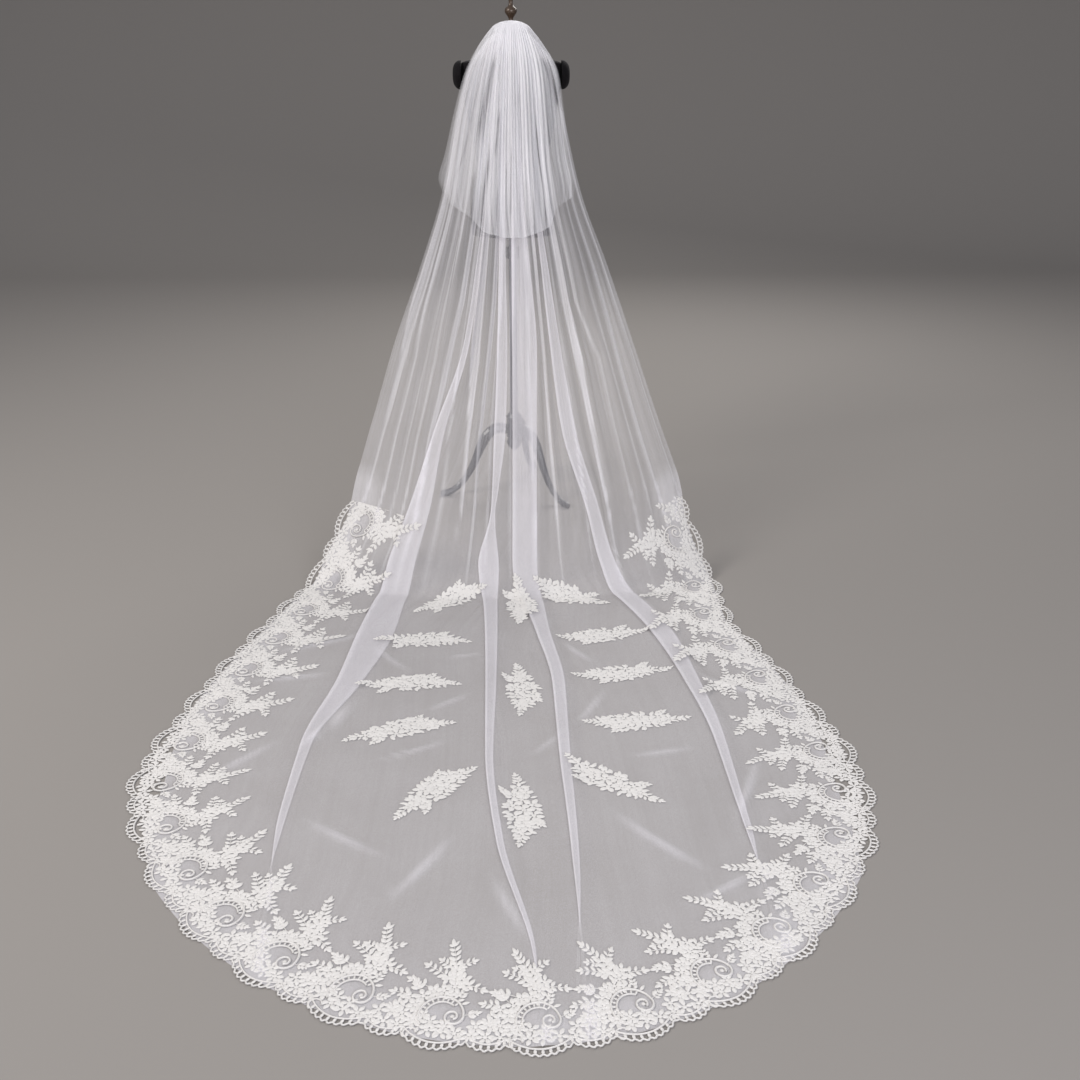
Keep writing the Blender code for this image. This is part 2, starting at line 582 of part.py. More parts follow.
def build_form(cloth, plate, wood):
    """Torso, its two arm caps and its base plate."""
    lofted("torso", torso_levels(), cloth)
    bottom = TORSO[0]
    lofted("base_plate", [Level(PLATE_BOTTOM, bottom.half_width - PLATE_ROUND, bottom.half_depth - PLATE_ROUND),
                          Level(PLATE_WIDEST, bottom.half_width, bottom.half_depth),
                          Level(bottom.height - SEAM_GAP, bottom.half_width, bottom.half_depth)], plate)
    widest = max(level.half_width for level in torso_levels())
    for name, side in (("arm_cap_left", -1), ("arm_cap_right", 1)):
        verts, faces = [], []
        for out, size in ARM_CAP:
            for i in range(ARM_SIDES):
                angle = 2 * math.pi * i / ARM_SIDES
                taper = 1.0 - ARM_TAPER * max(0.0, -math.sin(angle))
                verts.append(place(side * (widest + SEAM_GAP + out),
                                   ARM_HALF_DEPTH * size * taper * math.cos(angle),
                                   ARM_HEIGHT + ARM_HALF_HEIGHT * size * math.sin(angle)))
        faces.append(tuple(range(ARM_SIDES)))
        for k in range(len(ARM_CAP) - 1):
            for i in range(ARM_SIDES):
                j = (i + 1) % ARM_SIDES
                faces.append((k * ARM_SIDES + i, k * ARM_SIDES + j,
                              (k + 1) * ARM_SIDES + j, (k + 1) * ARM_SIDES + i))
        top = (len(ARM_CAP) - 1) * ARM_SIDES
        faces.append(tuple(range(top, top + ARM_SIDES)))
        add_object(name, verts, faces, cloth)
    turned("neck_cap", NECK_CAP, wood)
    turned("neck_finial", FINIAL, wood)


def build_leg(name, turn, metal):
    """Cabriole leg swept along its stations, with a flat underside at the foot."""
    stations = []
    for at in np.linspace(0, len(LEG) - 1, 2 * (len(LEG) - 1) + 1):
        stations.append(Station(*[float(eased([getattr(s, key) for s in LEG], at)) for key in Station._fields]))
    verts, faces = [], []
    out_x, out_y = math.cos(turn), math.sin(turn)
    for k, station in enumerate(stations):
        before, after = stations[max(k - 1, 0)], stations[min(k + 1, len(stations) - 1)]
        slope = (0.0 if k == 0 else math.atan2(after.height - before.height, after.out - before.out))
        for i in range(LEG_SIDES):
            angle = 2 * math.pi * i / LEG_SIDES
            side = LEG_FLATNESS * station.half * math.cos(angle)
            up = station.half * math.sin(angle)
            out = station.out - up * math.sin(slope)
            height = max(station.height + up * math.cos(slope), 0.0)
            verts.append((STAND_X + out * out_x - side * out_y, STAND_Y + out * out_y + side * out_x, height))
    faces.append(tuple(range(LEG_SIDES)))
    for k in range(len(stations) - 1):
        for i in range(LEG_SIDES):
            j = (i + 1) % LEG_SIDES
            faces.append((k * LEG_SIDES + i, k * LEG_SIDES + j, (k + 1) * LEG_SIDES + j, (k + 1) * LEG_SIDES + i))
    top = (len(stations) - 1) * LEG_SIDES
    faces.append(tuple(range(top, top + LEG_SIDES)))
    add_object(name, verts, faces, metal)


def build_stand(metal):
    """Pole with its collar, hub and three legs."""
    turned("pole", POLE, metal)
    turned("height_collar", COLLAR, metal)
    turned("hub", HUB, metal)
    for number, degrees in enumerate(LEG_TURNS):
        build_leg(f"leg_{number + 1}", math.radians(degrees), metal)


def main():
    """Build every piece of the veil and of the form that it hangs on."""
    clear_scene()
    tulle = make_material("tulle", (0.86, 0.84, 0.90), 0.6, alpha=0.35)
    lace = make_material("lace", (0.93, 0.91, 0.89), 0.75)
    band_cloth = make_material("ribbon", (0.90, 0.88, 0.90), 0.6)
    comb_metal = make_material("comb_metal", (0.75, 0.75, 0.76), 0.3, metallic=1.0)
    form_cloth = make_material("form_cloth", (0.02, 0.02, 0.022), 0.85)
    plate = make_material("base_plate_paint", (0.03, 0.025, 0.022), 0.6)
    bronze = make_material("bronze_paint", (0.13, 0.08, 0.05), 0.4, metallic=0.6)
    metal = make_material("black_paint", (0.015, 0.015, 0.016), 0.35, metallic=0.3)
    grid, normals = build_tiers(tulle)
    build_border(grid, normals, lace)
    for spray in SPRAYS:
        build_spray(grid, normals, spray, lace)
    build_comb(comb_metal, band_cloth)
    build_form(form_cloth, plate, bronze)
    build_stand(metal)


main()
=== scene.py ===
# %% [markdown]
# # A two-tier bridal veil on a dress form
# The veil is two layers of tulle gathered on one comb: a short tier folded over the gathers and
# a cathedral-length tier whose train spreads on the floor. Corded lace is sewn round the train
# and thirteen lace sprays lie on it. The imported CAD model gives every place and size; this
# script makes the fine surfaces that are seen.

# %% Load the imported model
import math
from collections import namedtuple

import bmesh
import bpy
import numpy as np
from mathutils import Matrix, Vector


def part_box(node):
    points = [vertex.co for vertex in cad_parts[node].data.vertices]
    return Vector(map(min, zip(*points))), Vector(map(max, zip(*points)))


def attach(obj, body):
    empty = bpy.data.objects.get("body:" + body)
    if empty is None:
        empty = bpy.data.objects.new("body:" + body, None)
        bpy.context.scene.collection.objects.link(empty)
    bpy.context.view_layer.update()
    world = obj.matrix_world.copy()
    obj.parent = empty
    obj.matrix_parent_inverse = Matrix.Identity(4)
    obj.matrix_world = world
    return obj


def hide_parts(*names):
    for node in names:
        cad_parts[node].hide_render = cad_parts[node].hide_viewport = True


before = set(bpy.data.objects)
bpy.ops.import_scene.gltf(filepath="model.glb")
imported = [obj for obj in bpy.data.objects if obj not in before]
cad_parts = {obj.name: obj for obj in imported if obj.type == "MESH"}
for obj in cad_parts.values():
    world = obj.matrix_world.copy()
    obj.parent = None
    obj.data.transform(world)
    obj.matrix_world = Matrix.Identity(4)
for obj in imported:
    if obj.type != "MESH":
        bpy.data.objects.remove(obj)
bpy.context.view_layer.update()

# %% [markdown]
# The stand's axis is the place that everything hangs from, so it is read from the pole. On the
# cloth, places are x to the right of the axis, reach towards the train, and height.

# %% Where the stand is
pole_low, pole_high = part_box("pole")
STAND_X = (pole_low[0] + pole_high[0]) / 2
STAND_Y = (pole_low[1] + pole_high[1]) / 2


def to_world(points):
    """World coordinates of an array of (x, reach, height)."""
    points = np.asarray(points, float)
    return np.stack([STAND_X + points[..., 0], STAND_Y - points[..., 1], points[..., 2]], -1)


print("stand axis at", round(STAND_X, 4), round(STAND_Y, 4))

# %% [markdown]
# The camera stands behind the bride's place, at head height, and looks down along the train.

# %% Camera
CAMERA_REACH = 3.99
CAMERA_HEIGHT = 1.46
CAMERA_SIDE = -0.04
CAMERA_PITCH = math.radians(22.4)
CAMERA_YAW = math.radians(1.8)

camera_data = bpy.data.cameras.new("camera")
camera_data.lens = 42.0
camera_data.sensor_width = 36.0
camera = bpy.data.objects.new("camera", camera_data)
camera.location = (STAND_X + CAMERA_SIDE, STAND_Y - CAMERA_REACH, CAMERA_HEIGHT)
camera.rotation_euler = (math.radians(90) - CAMERA_PITCH, 0.0, -CAMERA_YAW)
bpy.context.collection.objects.link(camera)
bpy.context.scene.camera = camera
print("camera at", [round(v, 3) for v in camera.location])

# %% [markdown]
# Each tier is described by a short table of cross-sections, the same ones the solids were made
# from: where the middle and the side edges of the section are, how far it spreads, and how deep
# its pleats are. A smooth curve that never overshoots joins the rows.

# %% Sections of the two tiers
Section = namedtuple("Section",
                     "name reach_mid height_mid reach_side height_side left right pleat layer lace")
LONG_TIER = [
    Section("gather", 0.0571, 1.4250, 0.0243, 1.4250, 0.052, 0.052, 0.0000, 0.0008, 0.011),
    Section("nape", 0.0920, 1.3850, 0.0700, 1.3880, 0.088, 0.088, 0.0030, 0.0015, 0.02),
    Section("shoulder", 0.1280, 1.3300, 0.0880, 1.3350, 0.125, 0.125, 0.0050, 0.0025, 0.03),
    Section("blade", 0.1950, 1.2000, 0.1300, 1.2000, 0.165, 0.152, 0.0065, 0.0032, 0.04),
    Section("waist", 0.2970, 1.0000, 0.2050, 1.0000, 0.205, 0.197, 0.0080, 0.0035, 0.06),
    Section("seat", 0.3960, 0.8000, 0.2950, 0.8000, 0.271, 0.272, 0.0090, 0.0038, 0.09),
    Section("thigh", 0.5000, 0.6000, 0.3950, 0.6000, 0.347, 0.342, 0.0095, 0.0040, 0.13),
    Section("knee", 0.6080, 0.4000, 0.5000, 0.4000, 0.411, 0.410, 0.0085, 0.0040, 0.16),
    Section("calf", 0.7220, 0.2000, 0.6150, 0.2000, 0.480, 0.484, 0.0050, 0.0040, 0.19),
    Section("ankle", 0.8080, 0.0750, 0.6900, 0.0800, 0.550, 0.524, 0.0020, 0.0040, 0.21),
    Section("touch", 0.8850, 0.0000, 0.7750, 0.0000, 0.604, 0.566, 0.0000, 0.0040, 0.23),
    Section("train_1", 1.1000, 0.0000, 1.0000, 0.0000, 0.672, 0.562, 0.0000, 0.0040, 0.24),
    Section("train_2", 1.3600, 0.0000, 1.2400, 0.0000, 0.740, 0.625, 0.0000, 0.0040, 0.24),
    Section("train_3", 1.6600, 0.0000, 1.4800, 0.0000, 0.790, 0.677, 0.0000, 0.0036, 0.24),
    Section("train_4", 1.9700, 0.0000, 1.6400, 0.0000, 0.818, 0.712, 0.0000, 0.0030, 0.24),
    Section("lace_inner", 2.2750, 0.0000, 1.7650, 0.0000, 0.823, 0.715, 0.0000, 0.0014, 0.24),
    Section("hem", 2.5150, 0.0000, 1.9550, 0.0000, 0.762, 0.690, 0.0000, 0.0010, 0.24),
]
SHORT_TIER = [
    Section("band", 0.0551, 1.4293, 0.0270, 1.4293, 0.048, 0.048, 0.0000, 0.0, 0.0),
    Section("rise", 0.0600, 1.4460, 0.0360, 1.4400, 0.050, 0.050, 0.0012, 0.0, 0.0),
    Section("crown", 0.0740, 1.4610, 0.0520, 1.4430, 0.054, 0.053, 0.0016, 0.0, 0.0),
    Section("roll", 0.0980, 1.4540, 0.0720, 1.4270, 0.069, 0.067, 0.0022, 0.0, 0.0),
    Section("fall", 0.1260, 1.4230, 0.0920, 1.3930, 0.096, 0.094, 0.0030, 0.0, 0.0),
    Section("shoulder", 0.1680, 1.3400, 0.1200, 1.3250, 0.134, 0.134, 0.0045, 0.0, 0.0),
    Section("blade", 0.2320, 1.2200, 0.1600, 1.2150, 0.168, 0.151, 0.0060, 0.0, 0.0),
    Section("waist", 0.2980, 1.0900, 0.2020, 1.1100, 0.194, 0.163, 0.0065, 0.0, 0.0),
    Section("low", 0.3500, 0.9800, 0.2380, 1.0400, 0.214, 0.180, 0.0065, 0.0, 0.0),
    Section("hem", 0.3900, 0.8950, 0.2600, 0.9950, 0.197, 0.178, 0.0060, 0.0, 0.0),
]


def eased(values, at):
    """Smooth curve through evenly numbered values that never overshoots them."""
    values = np.asarray(values, float)
    at = np.asarray(at, float)
    steps = np.diff(values)
    slopes = np.zeros(len(values))
    slopes[0], slopes[-1] = steps[0], steps[-1]
    for i in range(1, len(values) - 1):
        if steps[i - 1] * steps[i] > 0:
            slopes[i] = 2 * steps[i - 1] * steps[i] / (steps[i - 1] + steps[i])
    low = np.clip(np.floor(at).astype(int), 0, len(values) - 2)
    f = at - low
    return ((2 * f**3 - 3 * f**2 + 1) * values[low] + (f**3 - 2 * f**2 + f) * slopes[low]
            + (3 * f**2 - 2 * f**3) * values[low + 1] + (f**3 - f**2) * slopes[low + 1])


def smooth_step(f):
    """0 to 1, level at both ends."""
    f = np.clip(f, 0.0, 1.0)
    return f * f * (3 - 2 * f)


def column(sections, key, at):
    """One named column of a table, read at section number at."""
    return eased([getattr(s, key) for s in sections], at)


def tier_point(sections, x, at):
    """A place on the smooth tier, before its pleats."""
    reach_mid, height_mid = column(sections, "reach_mid", at), column(sections, "height_mid", at)
    reach_side, height_side = column(sections, "reach_side", at), column(sections, "height_side", at)
    s = np.where(x < 0, -x / column(sections, "left", at), x / column(sections, "right", at))
    drop = 0.78 * s**2 + 0.22 * s**6
    return np.stack([x + 0 * s, reach_mid + (reach_side - reach_mid) * drop,
                     height_mid + (height_side - height_mid) * drop], -1)


def tier_normal(sections, x, at):
    """Outward direction of the smooth tier."""
    last = len(sections) - 1
    along = tier_point(sections, x, np.minimum(at + 0.05, last)) - tier_point(sections, x,
                                                                              np.maximum(at - 0.05, 0))
    across = tier_point(sections, x + 0.002, at) - tier_point(sections, x - 0.002, at)
    normal = np.cross(across, along)
    return normal / np.linalg.norm(normal, axis=-1, keepdims=True)


print("sections:", len(LONG_TIER), "in the long tier,", len(SHORT_TIER), "in the short one")

# %% [markdown]
# Four big flat folds run down the long tier: the cloth doubles back on itself, so three layers
# lie on each other and look whiter than the single net beside them. The table gives each fold's
# left edge and overlap at every section.

# %% The flat folds
Folds = namedtuple("Folds", "left_1 wide_1 left_2 wide_2 left_3 wide_3 left_4 wide_4")
FOLDS = [
    Folds(-0.022, 0.000, -0.009, 0.000, 0.005, 0.000, 0.020, 0.000),
    Folds(-0.038, 0.000, -0.016, 0.000, 0.008, 0.000, 0.033, 0.000),
    Folds(-0.052, 0.000, -0.021, 0.000, 0.006, 0.000, 0.042, 0.000),
    Folds(-0.066, 0.004, -0.027, 0.006, 0.000, 0.012, 0.049, 0.004),
    Folds(-0.080, 0.008, -0.034, 0.010, -0.004, 0.030, 0.058, 0.010),
    Folds(-0.108, 0.010, -0.042, 0.016, -0.006, 0.050, 0.078, 0.018),
    Folds(-0.146, 0.012, -0.049, 0.025, -0.007, 0.066, 0.100, 0.027),
    Folds(-0.225, 0.025, -0.060, 0.028, -0.009, 0.064, 0.127, 0.036),
    Folds(-0.300, 0.055, -0.072, 0.010, -0.012, 0.064, 0.192, 0.034),
    Folds(-0.355, 0.070, -0.108, 0.053, -0.014, 0.064, 0.225, 0.040),
    Folds(-0.383, 0.075, -0.096, 0.036, 0.010, 0.053, 0.265, 0.055),
    Folds(-0.415, 0.088, -0.088, 0.028, 0.045, 0.033, 0.335, 0.052),
    Folds(-0.440, 0.056, -0.085, 0.022, 0.074, 0.027, 0.385, 0.035),
    Folds(-0.485, 0.020, -0.083, 0.014, 0.076, 0.021, 0.418, 0.022),
    Folds(-0.490, 0.012, -0.060, 0.012, 0.083, 0.013, 0.424, 0.014),
    Folds(-0.470, 0.004, 0.000, 0.009, 0.085, 0.006, 0.430, 0.005),
    Folds(-0.450, 0.000, 0.020, 0.000, 0.085, 0.000, 0.430, 0.000),
]
TURN_STEPS = 5             # mesh columns round each half turn of a fold
PANEL_CELLS = [56, 46, 28, 46, 56]
PANEL_PLEATS = [3.5, 3.0, 2.0, 3.0, 3.5]
FULLY_FOLDED = 0.012
UNROLLED_STEP = 0.004
HEM_INSET = 0.020          # the tulle is trimmed inside the lace
CORNER_INSET = 0.055       # more of it where the side turns into the hem
CREASE_LIFT = 0.0035


def fold_turn(left, right, gap):
    """Columns of one folded S: (x, lift) from the first layer's edge to the third layer's."""
    places = []
    for k in range(TURN_STEPS):
        angle = math.pi * k / (TURN_STEPS - 1)
        places.append((right + gap / 2 * math.sin(angle), gap / 2 * (1 - math.cos(angle))))
    for part in (0.25, 0.5, 0.75):
        places.append((right + (left - right) * part, gap))
    for k in range(TURN_STEPS):
        angle = math.pi * k / (TURN_STEPS - 1)
        places.append((left - gap / 2 * math.sin(angle), gap + gap / 2 * (1 - math.cos(angle))))
    return places


FOLD_COLUMNS = 2 * TURN_STEPS + 3
TOP_CELLS = 6              # cells across a fold's top layer, the first ones of the next panel
print("flat folds: 4, columns in each:", FOLD_COLUMNS)

# %% [markdown]
# Between the big folds the gathers leave narrow pleats that run out to a bright line. The net is
# doubled there. Each row gives a pleat's place, as a share of the half width, and its width, at
# three heights: seat, thigh and knee.

# %% The narrow pleats
Pleat = namedtuple("Pleat", "seat wide_seat thigh wide_thigh knee wide_knee layers")
PLEATS = [
    Pleat(-0.922, 0.0240, -0.897, 0.0137, -0.907, 0.0040, 1.6),
    Pleat(-0.820, 0.0060, -0.790, 0.0040, -0.805, 0.0042, 1.6),
    Pleat(-0.645, 0.0060, -0.637, 0.0054, -0.665, 0.0043, 1.5),
    Pleat(-0.502, 0.0105, -0.535, 0.0114, -0.580, 0.0084, 1.6),
    Pleat(-0.325, 0.0184, -0.320, 0.0213, -0.328, 0.0063, 2.4),
    Pleat(-0.193, 0.0075, -0.215, 0.0071, -0.250, 0.0042, 1.8),
    Pleat(-0.130, 0.0050, -0.150, 0.0045, -0.170, 0.0040, 1.0),
    Pleat(0.120, 0.0040, 0.105, 0.0040, 0.100, 0.0038, 1.2),
    Pleat(0.227, 0.0045, 0.230, 0.0040, 0.225, 0.0042, 2.2),
    Pleat(0.480, 0.0156, 0.508, 0.0158, 0.522, 0.0063, 2.6),
    Pleat(0.587, 0.0065, 0.677, 0.0053, 0.677, 0.0060, 1.2),
    Pleat(0.853, 0.0045, 0.843, 0.0053, 0.843, 0.0055, 2.0),
    Pleat(0.950, 0.0040, 0.955, 0.0042, 0.960, 0.0043, 1.4),
    Pleat(-0.720, 0.0035, -0.712, 0.0035, -0.730, 0.0035, 0.8),
    Pleat(-0.430, 0.0040, -0.440, 0.0038, -0.450, 0.0038, 0.9),
    Pleat(0.740, 0.0040, 0.760, 0.0038, 0.770, 0.0038, 0.8),
    Pleat(-0.030, 0.0050, -0.040, 0.0040, -0.040, 0.0038, 0.9),
    Pleat(0.380, 0.0045, 0.390, 0.0040, 0.395, 0.0040, 1.0),
]
PLEAT_ROWS = (0.0, 3.0, 5.4, 6.15, 7.15)


def pleat_places(left, right, at):
    """x of every narrow pleat's middle, in table order."""
    shares = [float(np.interp(at, PLEAT_ROWS[2:], (p.seat, p.thigh, p.knee))) for p in PLEATS]
    return np.array([share * (left if share < 0 else right) for share in shares])


def pleat_layers(x, left, right, at):
    """Extra layers of net at x from the narrow pleats."""
    share = np.where(x < 0, x / left, x / right)
    total = np.zeros_like(x)
    fade = 1 - float(smooth_step((at - 7.2) / 3.2))
    for pleat in PLEATS:
        middle = np.interp(at, PLEAT_ROWS[2:], (pleat.seat, pleat.thigh, pleat.knee))
        wide = np.interp(at, PLEAT_ROWS, (0.004, 0.006, pleat.wide_seat, pleat.wide_thigh, pleat.wide_knee))
        away = np.abs(share - middle) * np.where(share < 0, left, right)
        inside = smooth_step((wide / 2 + 0.0022 - away) / 0.0030)
        rim = np.exp(-((away - wide / 2) / 0.0018) ** 2)
        total += pleat.layers * fade * (inside + 0.5 * rim)
    return total


print("narrow pleats:", len(PLEATS))

# %% [markdown]
# A row of the mesh goes from the left edge to the right one. In each panel the columns are drawn
# to the narrow pleats, so that a pleat runs along one column and has no steps in it.

# %% One row of the long tier
def pleat_wave(panel, part):
    """Uneven soft pleats across one panel, from -1 to 1, level at the panel's ends."""
    count = PANEL_PLEATS[panel]
    wander = 0.35 * np.sin(2.1 * part * math.pi + 1.3 * panel)
    wave = np.sin(2 * math.pi * count * part + wander * 2.0 + 0.4 * panel)
    sharp = np.sign(wave) * np.abs(wave) ** 0.8
    fine = 0.28 * np.sin(2 * math.pi * count * 3.1 * part + 2.0 * panel)
    ends = smooth_step(part / 0.08) * smooth_step((1 - part) / 0.08)
    return (0.8 * sharp + fine) * ends


def fold_edges(panel, at):
    """Left edge and overlap of the fold that ends a panel."""
    left = float(eased([getattr(f, f"left_{panel + 1}") for f in FOLDS], at))
    return left, float(eased([getattr(f, f"wide_{panel + 1}") for f in FOLDS], at))


def panel_pleats():
    """For each panel, the pleats in it and the share of the panel where each has its column."""
    at = 6.0
    left = float(column(LONG_TIER, "left", at))
    right = float(column(LONG_TIER, "right", at))
    places = pleat_places(left, right, at)
    start = -left
    found = []
    for panel, cells in enumerate(PANEL_CELLS):
        if panel < len(PANEL_CELLS) - 1:
            fold_left, wide = fold_edges(panel, at)
            end = fold_left + wide
        else:
            end = right
        inside = [k for k in np.argsort(places) if start + 0.008 < places[k] < end - 0.008]
        steps = [int(round(cells * (places[k] - start) / (end - start))) for k in inside]
        found.append(list(zip(inside, steps)))
        start = end
    return found


PLEATS_IN_PANEL = panel_pleats()


def panel_columns(panel, start, end, places):
    """x of one panel's columns, drawn to its pleats wherever those lie inside it."""
    cells = PANEL_CELLS[panel]
    steps, xs = [0], [start]
    for k, step in PLEATS_IN_PANEL[panel]:
        room = min(0.004, (end - start) / 14)
        x = min(max(places[k], xs[-1] + room), end - room)
        if step > steps[-1] and x > xs[-1]:
            steps.append(step)
            xs.append(x)
    if end > xs[-1]:
        steps.append(cells)
        xs.append(end)
    return np.interp(np.arange(cells + 1), steps, xs)


def long_row(at):
    """x, lift and edge mark of the fine columns of the long tier at one row."""
    value = {key: float(column(LONG_TIER, key, at)) for key in ("left", "right", "pleat", "layer", "lace")}
    inset = (HEM_INSET * float(smooth_step((at - 7.6) / 0.8))
             + CORNER_INSET * float(smooth_step((at - 12.5) / 2.0)))
    left, right = value["left"] - inset, value["right"] - inset
    step = min(UNROLLED_STEP, 0.016 * (left + right)) * 6.0 / FOLD_COLUMNS
    xs, lifts, edges = [], [], []
    places = pleat_places(left, right, at)
    start, start_lift = -left, 0.0
    for panel, cells in enumerate(PANEL_CELLS):
        last_panel = panel == len(PANEL_CELLS) - 1
        if last_panel:
            end = right
        else:
            fold_left, wide = fold_edges(panel, at)
            folded = float(smooth_step(wide / FULLY_FOLDED))
            fold_right = fold_left + wide
            end = fold_right - FOLD_COLUMNS * step * (1 - folded)
        part = np.arange(cells + 1) / cells
        x = panel_columns(panel, start, end, places)
        pleat = 0.6 * value["pleat"] * pleat_wave(panel, part)
        settle = start_lift * (1 - smooth_step((x - start) / 0.035))
        lift = pleat + settle
        if not last_panel:
            x, lift = x[:-1], lift[:-1]
        xs += list(x)
        lifts += list(lift)
        edges += [0.0] * len(x)
        if last_panel:
            break
        gap = value["layer"]
        for number, (folded_x, folded_lift) in enumerate(fold_turn(fold_left, fold_right, gap)):
            open_x = fold_right + (number - FOLD_COLUMNS) * step
            open_lift = 2.0 * gap * number / (FOLD_COLUMNS - 1)
            xs.append(open_x + (folded_x - open_x) * folded)
            lifts.append(open_lift + (folded_lift - open_lift) * folded)
            edges.append(0.0 if TURN_STEPS <= number < FOLD_COLUMNS - TURN_STEPS else folded)
        for cell in range(1, TOP_CELLS):
            top_left = fold_left + (fold_right - fold_left) * (1 - folded)
            xs.append(top_left + (fold_right - top_left) * cell / TOP_CELLS + 1e-5 * cell * (1 - folded))
            lifts.append(2 * gap)
            edges.append(0.0)
        start, start_lift = fold_right + 1e-4 * (1 - folded), 2 * gap
    return np.array(xs), np.array(lifts), np.array(edges)


print("columns across the long tier:", len(long_row(6.0)[0]))

# %% [markdown]
# Where the train lies on the floor the net is nearly flat, with short soft ridges that the
# cloth keeps from being pulled into place. Each is one row of a table. Each ridge's height
# also whitens the net along its crest, which is a painted highlight.

# %% Creases of the train
Crease = namedtuple("Crease", "x reach turn length width height")
CREASES = [
    Crease(-0.50, 1.12, 24, 0.26, 0.010, 0.0040), Crease(-0.55, 1.30, 10, 0.22, 0.009, 0.0034),
    Crease(-0.43, 1.52, 62, 0.30, 0.010, 0.0036), Crease(-0.36, 1.95, -38, 0.26, 0.009, 0.0030),
    Crease(-0.24, 1.64, 28, 0.20, 0.008, 0.0028), Crease(-0.17, 1.43, 38, 0.16, 0.008, 0.0026),
    Crease(-0.20, 2.05, 60, 0.28, 0.010, 0.0034), Crease(-0.32, 1.22, -52, 0.18, 0.008, 0.0026),
    Crease(0.16, 1.46, 64, 0.20, 0.008, 0.0030), Crease(0.14, 1.19, -58, 0.16, 0.008, 0.0026),
    Crease(0.25, 1.98, -50, 0.30, 0.010, 0.0034), Crease(0.30, 1.66, 12, 0.18, 0.008, 0.0026),
    Crease(0.50, 1.38, -36, 0.24, 0.010, 0.0036), Crease(0.46, 1.80, 70, 0.30, 0.009, 0.0032),
    Crease(0.36, 2.12, 34, 0.22, 0.008, 0.0028), Crease(-0.04, 2.16, -70, 0.24, 0.009, 0.0030),
    Crease(0.05, 1.62, 52, 0.14, 0.007, 0.0022), Crease(-0.60, 1.66, 48, 0.24, 0.009, 0.0030),
    Crease(0.55, 1.10, -70, 0.20, 0.009, 0.0032), Crease(-0.14, 1.20, 12, 0.12, 0.007, 0.0020),
]


def crease_lift(x, reach):
    """Height of the train's soft ridges above the flat cloth."""
    total = np.zeros_like(x)
    for crease in CREASES:
        turn = math.radians(crease.turn)
        dx, dy = x - crease.x, -(reach - crease.reach)
        along = dx * math.cos(turn) + dy * math.sin(turn)
        across = -dx * math.sin(turn) + dy * math.cos(turn)
        bend = across - 0.10 * along**2 / crease.length
        fade = smooth_step(1 - np.abs(along) / (crease.length / 2))
        total += crease.height * fade * np.exp(-(bend / crease.width) ** 2)
    return total


print("creases:", len(CREASES))

# %% [markdown]
# ## Materials
# All materials are made of nodes. Net is mostly holes, so the tulle lets most light straight
# through. How white it looks depends on how much cloth is gathered at a place, and along the
# train's crease crests also on a painted highlight; both are stored on the mesh as an
# attribute, so the shader only reads it.

# %% Helpers for shaders
def new_material(name):
    """An empty node material, its node maker and its output socket."""
    material = bpy.data.materials.new(name)
    material.use_nodes = True
    tree = material.node_tree
    tree.nodes.clear()
    output = tree.nodes.new("ShaderNodeOutputMaterial")
    return material, tree, output


def shader_node(tree, kind, links=None, **values):
    """A shader node with constants in its sockets, and links from other sockets."""
    node = tree.nodes.new(kind)
    for key, value in values.items():
        if hasattr(node, key):
            setattr(node, key, value)
        else:
            node.inputs[key.replace("_", " ")].default_value = value
    for socket, source in (links or {}).items():
        tree.links.new(source, node.inputs[socket])
    return node


def maths(tree, operation, first, second=0.0, clamp=False):
    """One math node; numbers or sockets go in."""
    node = tree.nodes.new("ShaderNodeMath")
    node.operation = operation
    node.use_clamp = clamp
    for slot_number, value in enumerate((first, second)):
        if isinstance(value, (int, float)):
            node.inputs[slot_number].default_value = value
        else:
            tree.links.new(value, node.inputs[slot_number])
    return node.outputs[0]


def stretched_noise(tree, coordinates, scale, detail=2.0, size=1.0, distortion=0.0):
    """Noise on coordinates that are scaled differently each way."""
    mapping = shader_node(tree, "ShaderNodeMapping", {"Vector": coordinates})
    mapping.inputs["Scale"].default_value = scale
    noise = shader_node(tree, "ShaderNodeTexNoise", {"Vector": mapping.outputs[0]})
    noise.inputs["Scale"].default_value = size
    noise.inputs["Detail"].default_value = detail
    noise.inputs["Distortion"].default_value = distortion
    return noise.outputs["Fac"]


def spread(tree, value, low, high, to_low, to_high):
    """A value's range stretched to another one, ends held."""
    node = tree.nodes.new("ShaderNodeMapRange")
    node.inputs["From Min"].default_value = low
    node.inputs["From Max"].default_value = high
    node.inputs["To Min"].default_value = to_low
    node.inputs["To Max"].default_value = to_high
    tree.links.new(value, node.inputs["Value"])
    return node.outputs[0]


print("shader helpers ready")

# %% [markdown]
# The tulle's opacity is 1 - (1 - single)^layers. The exponent, the number of layers, is the
# mesh attribute "layers" times a noise that is long and thin along the cloth: the streaks that
# gathers leave. The noise fades with distance from the gathering.

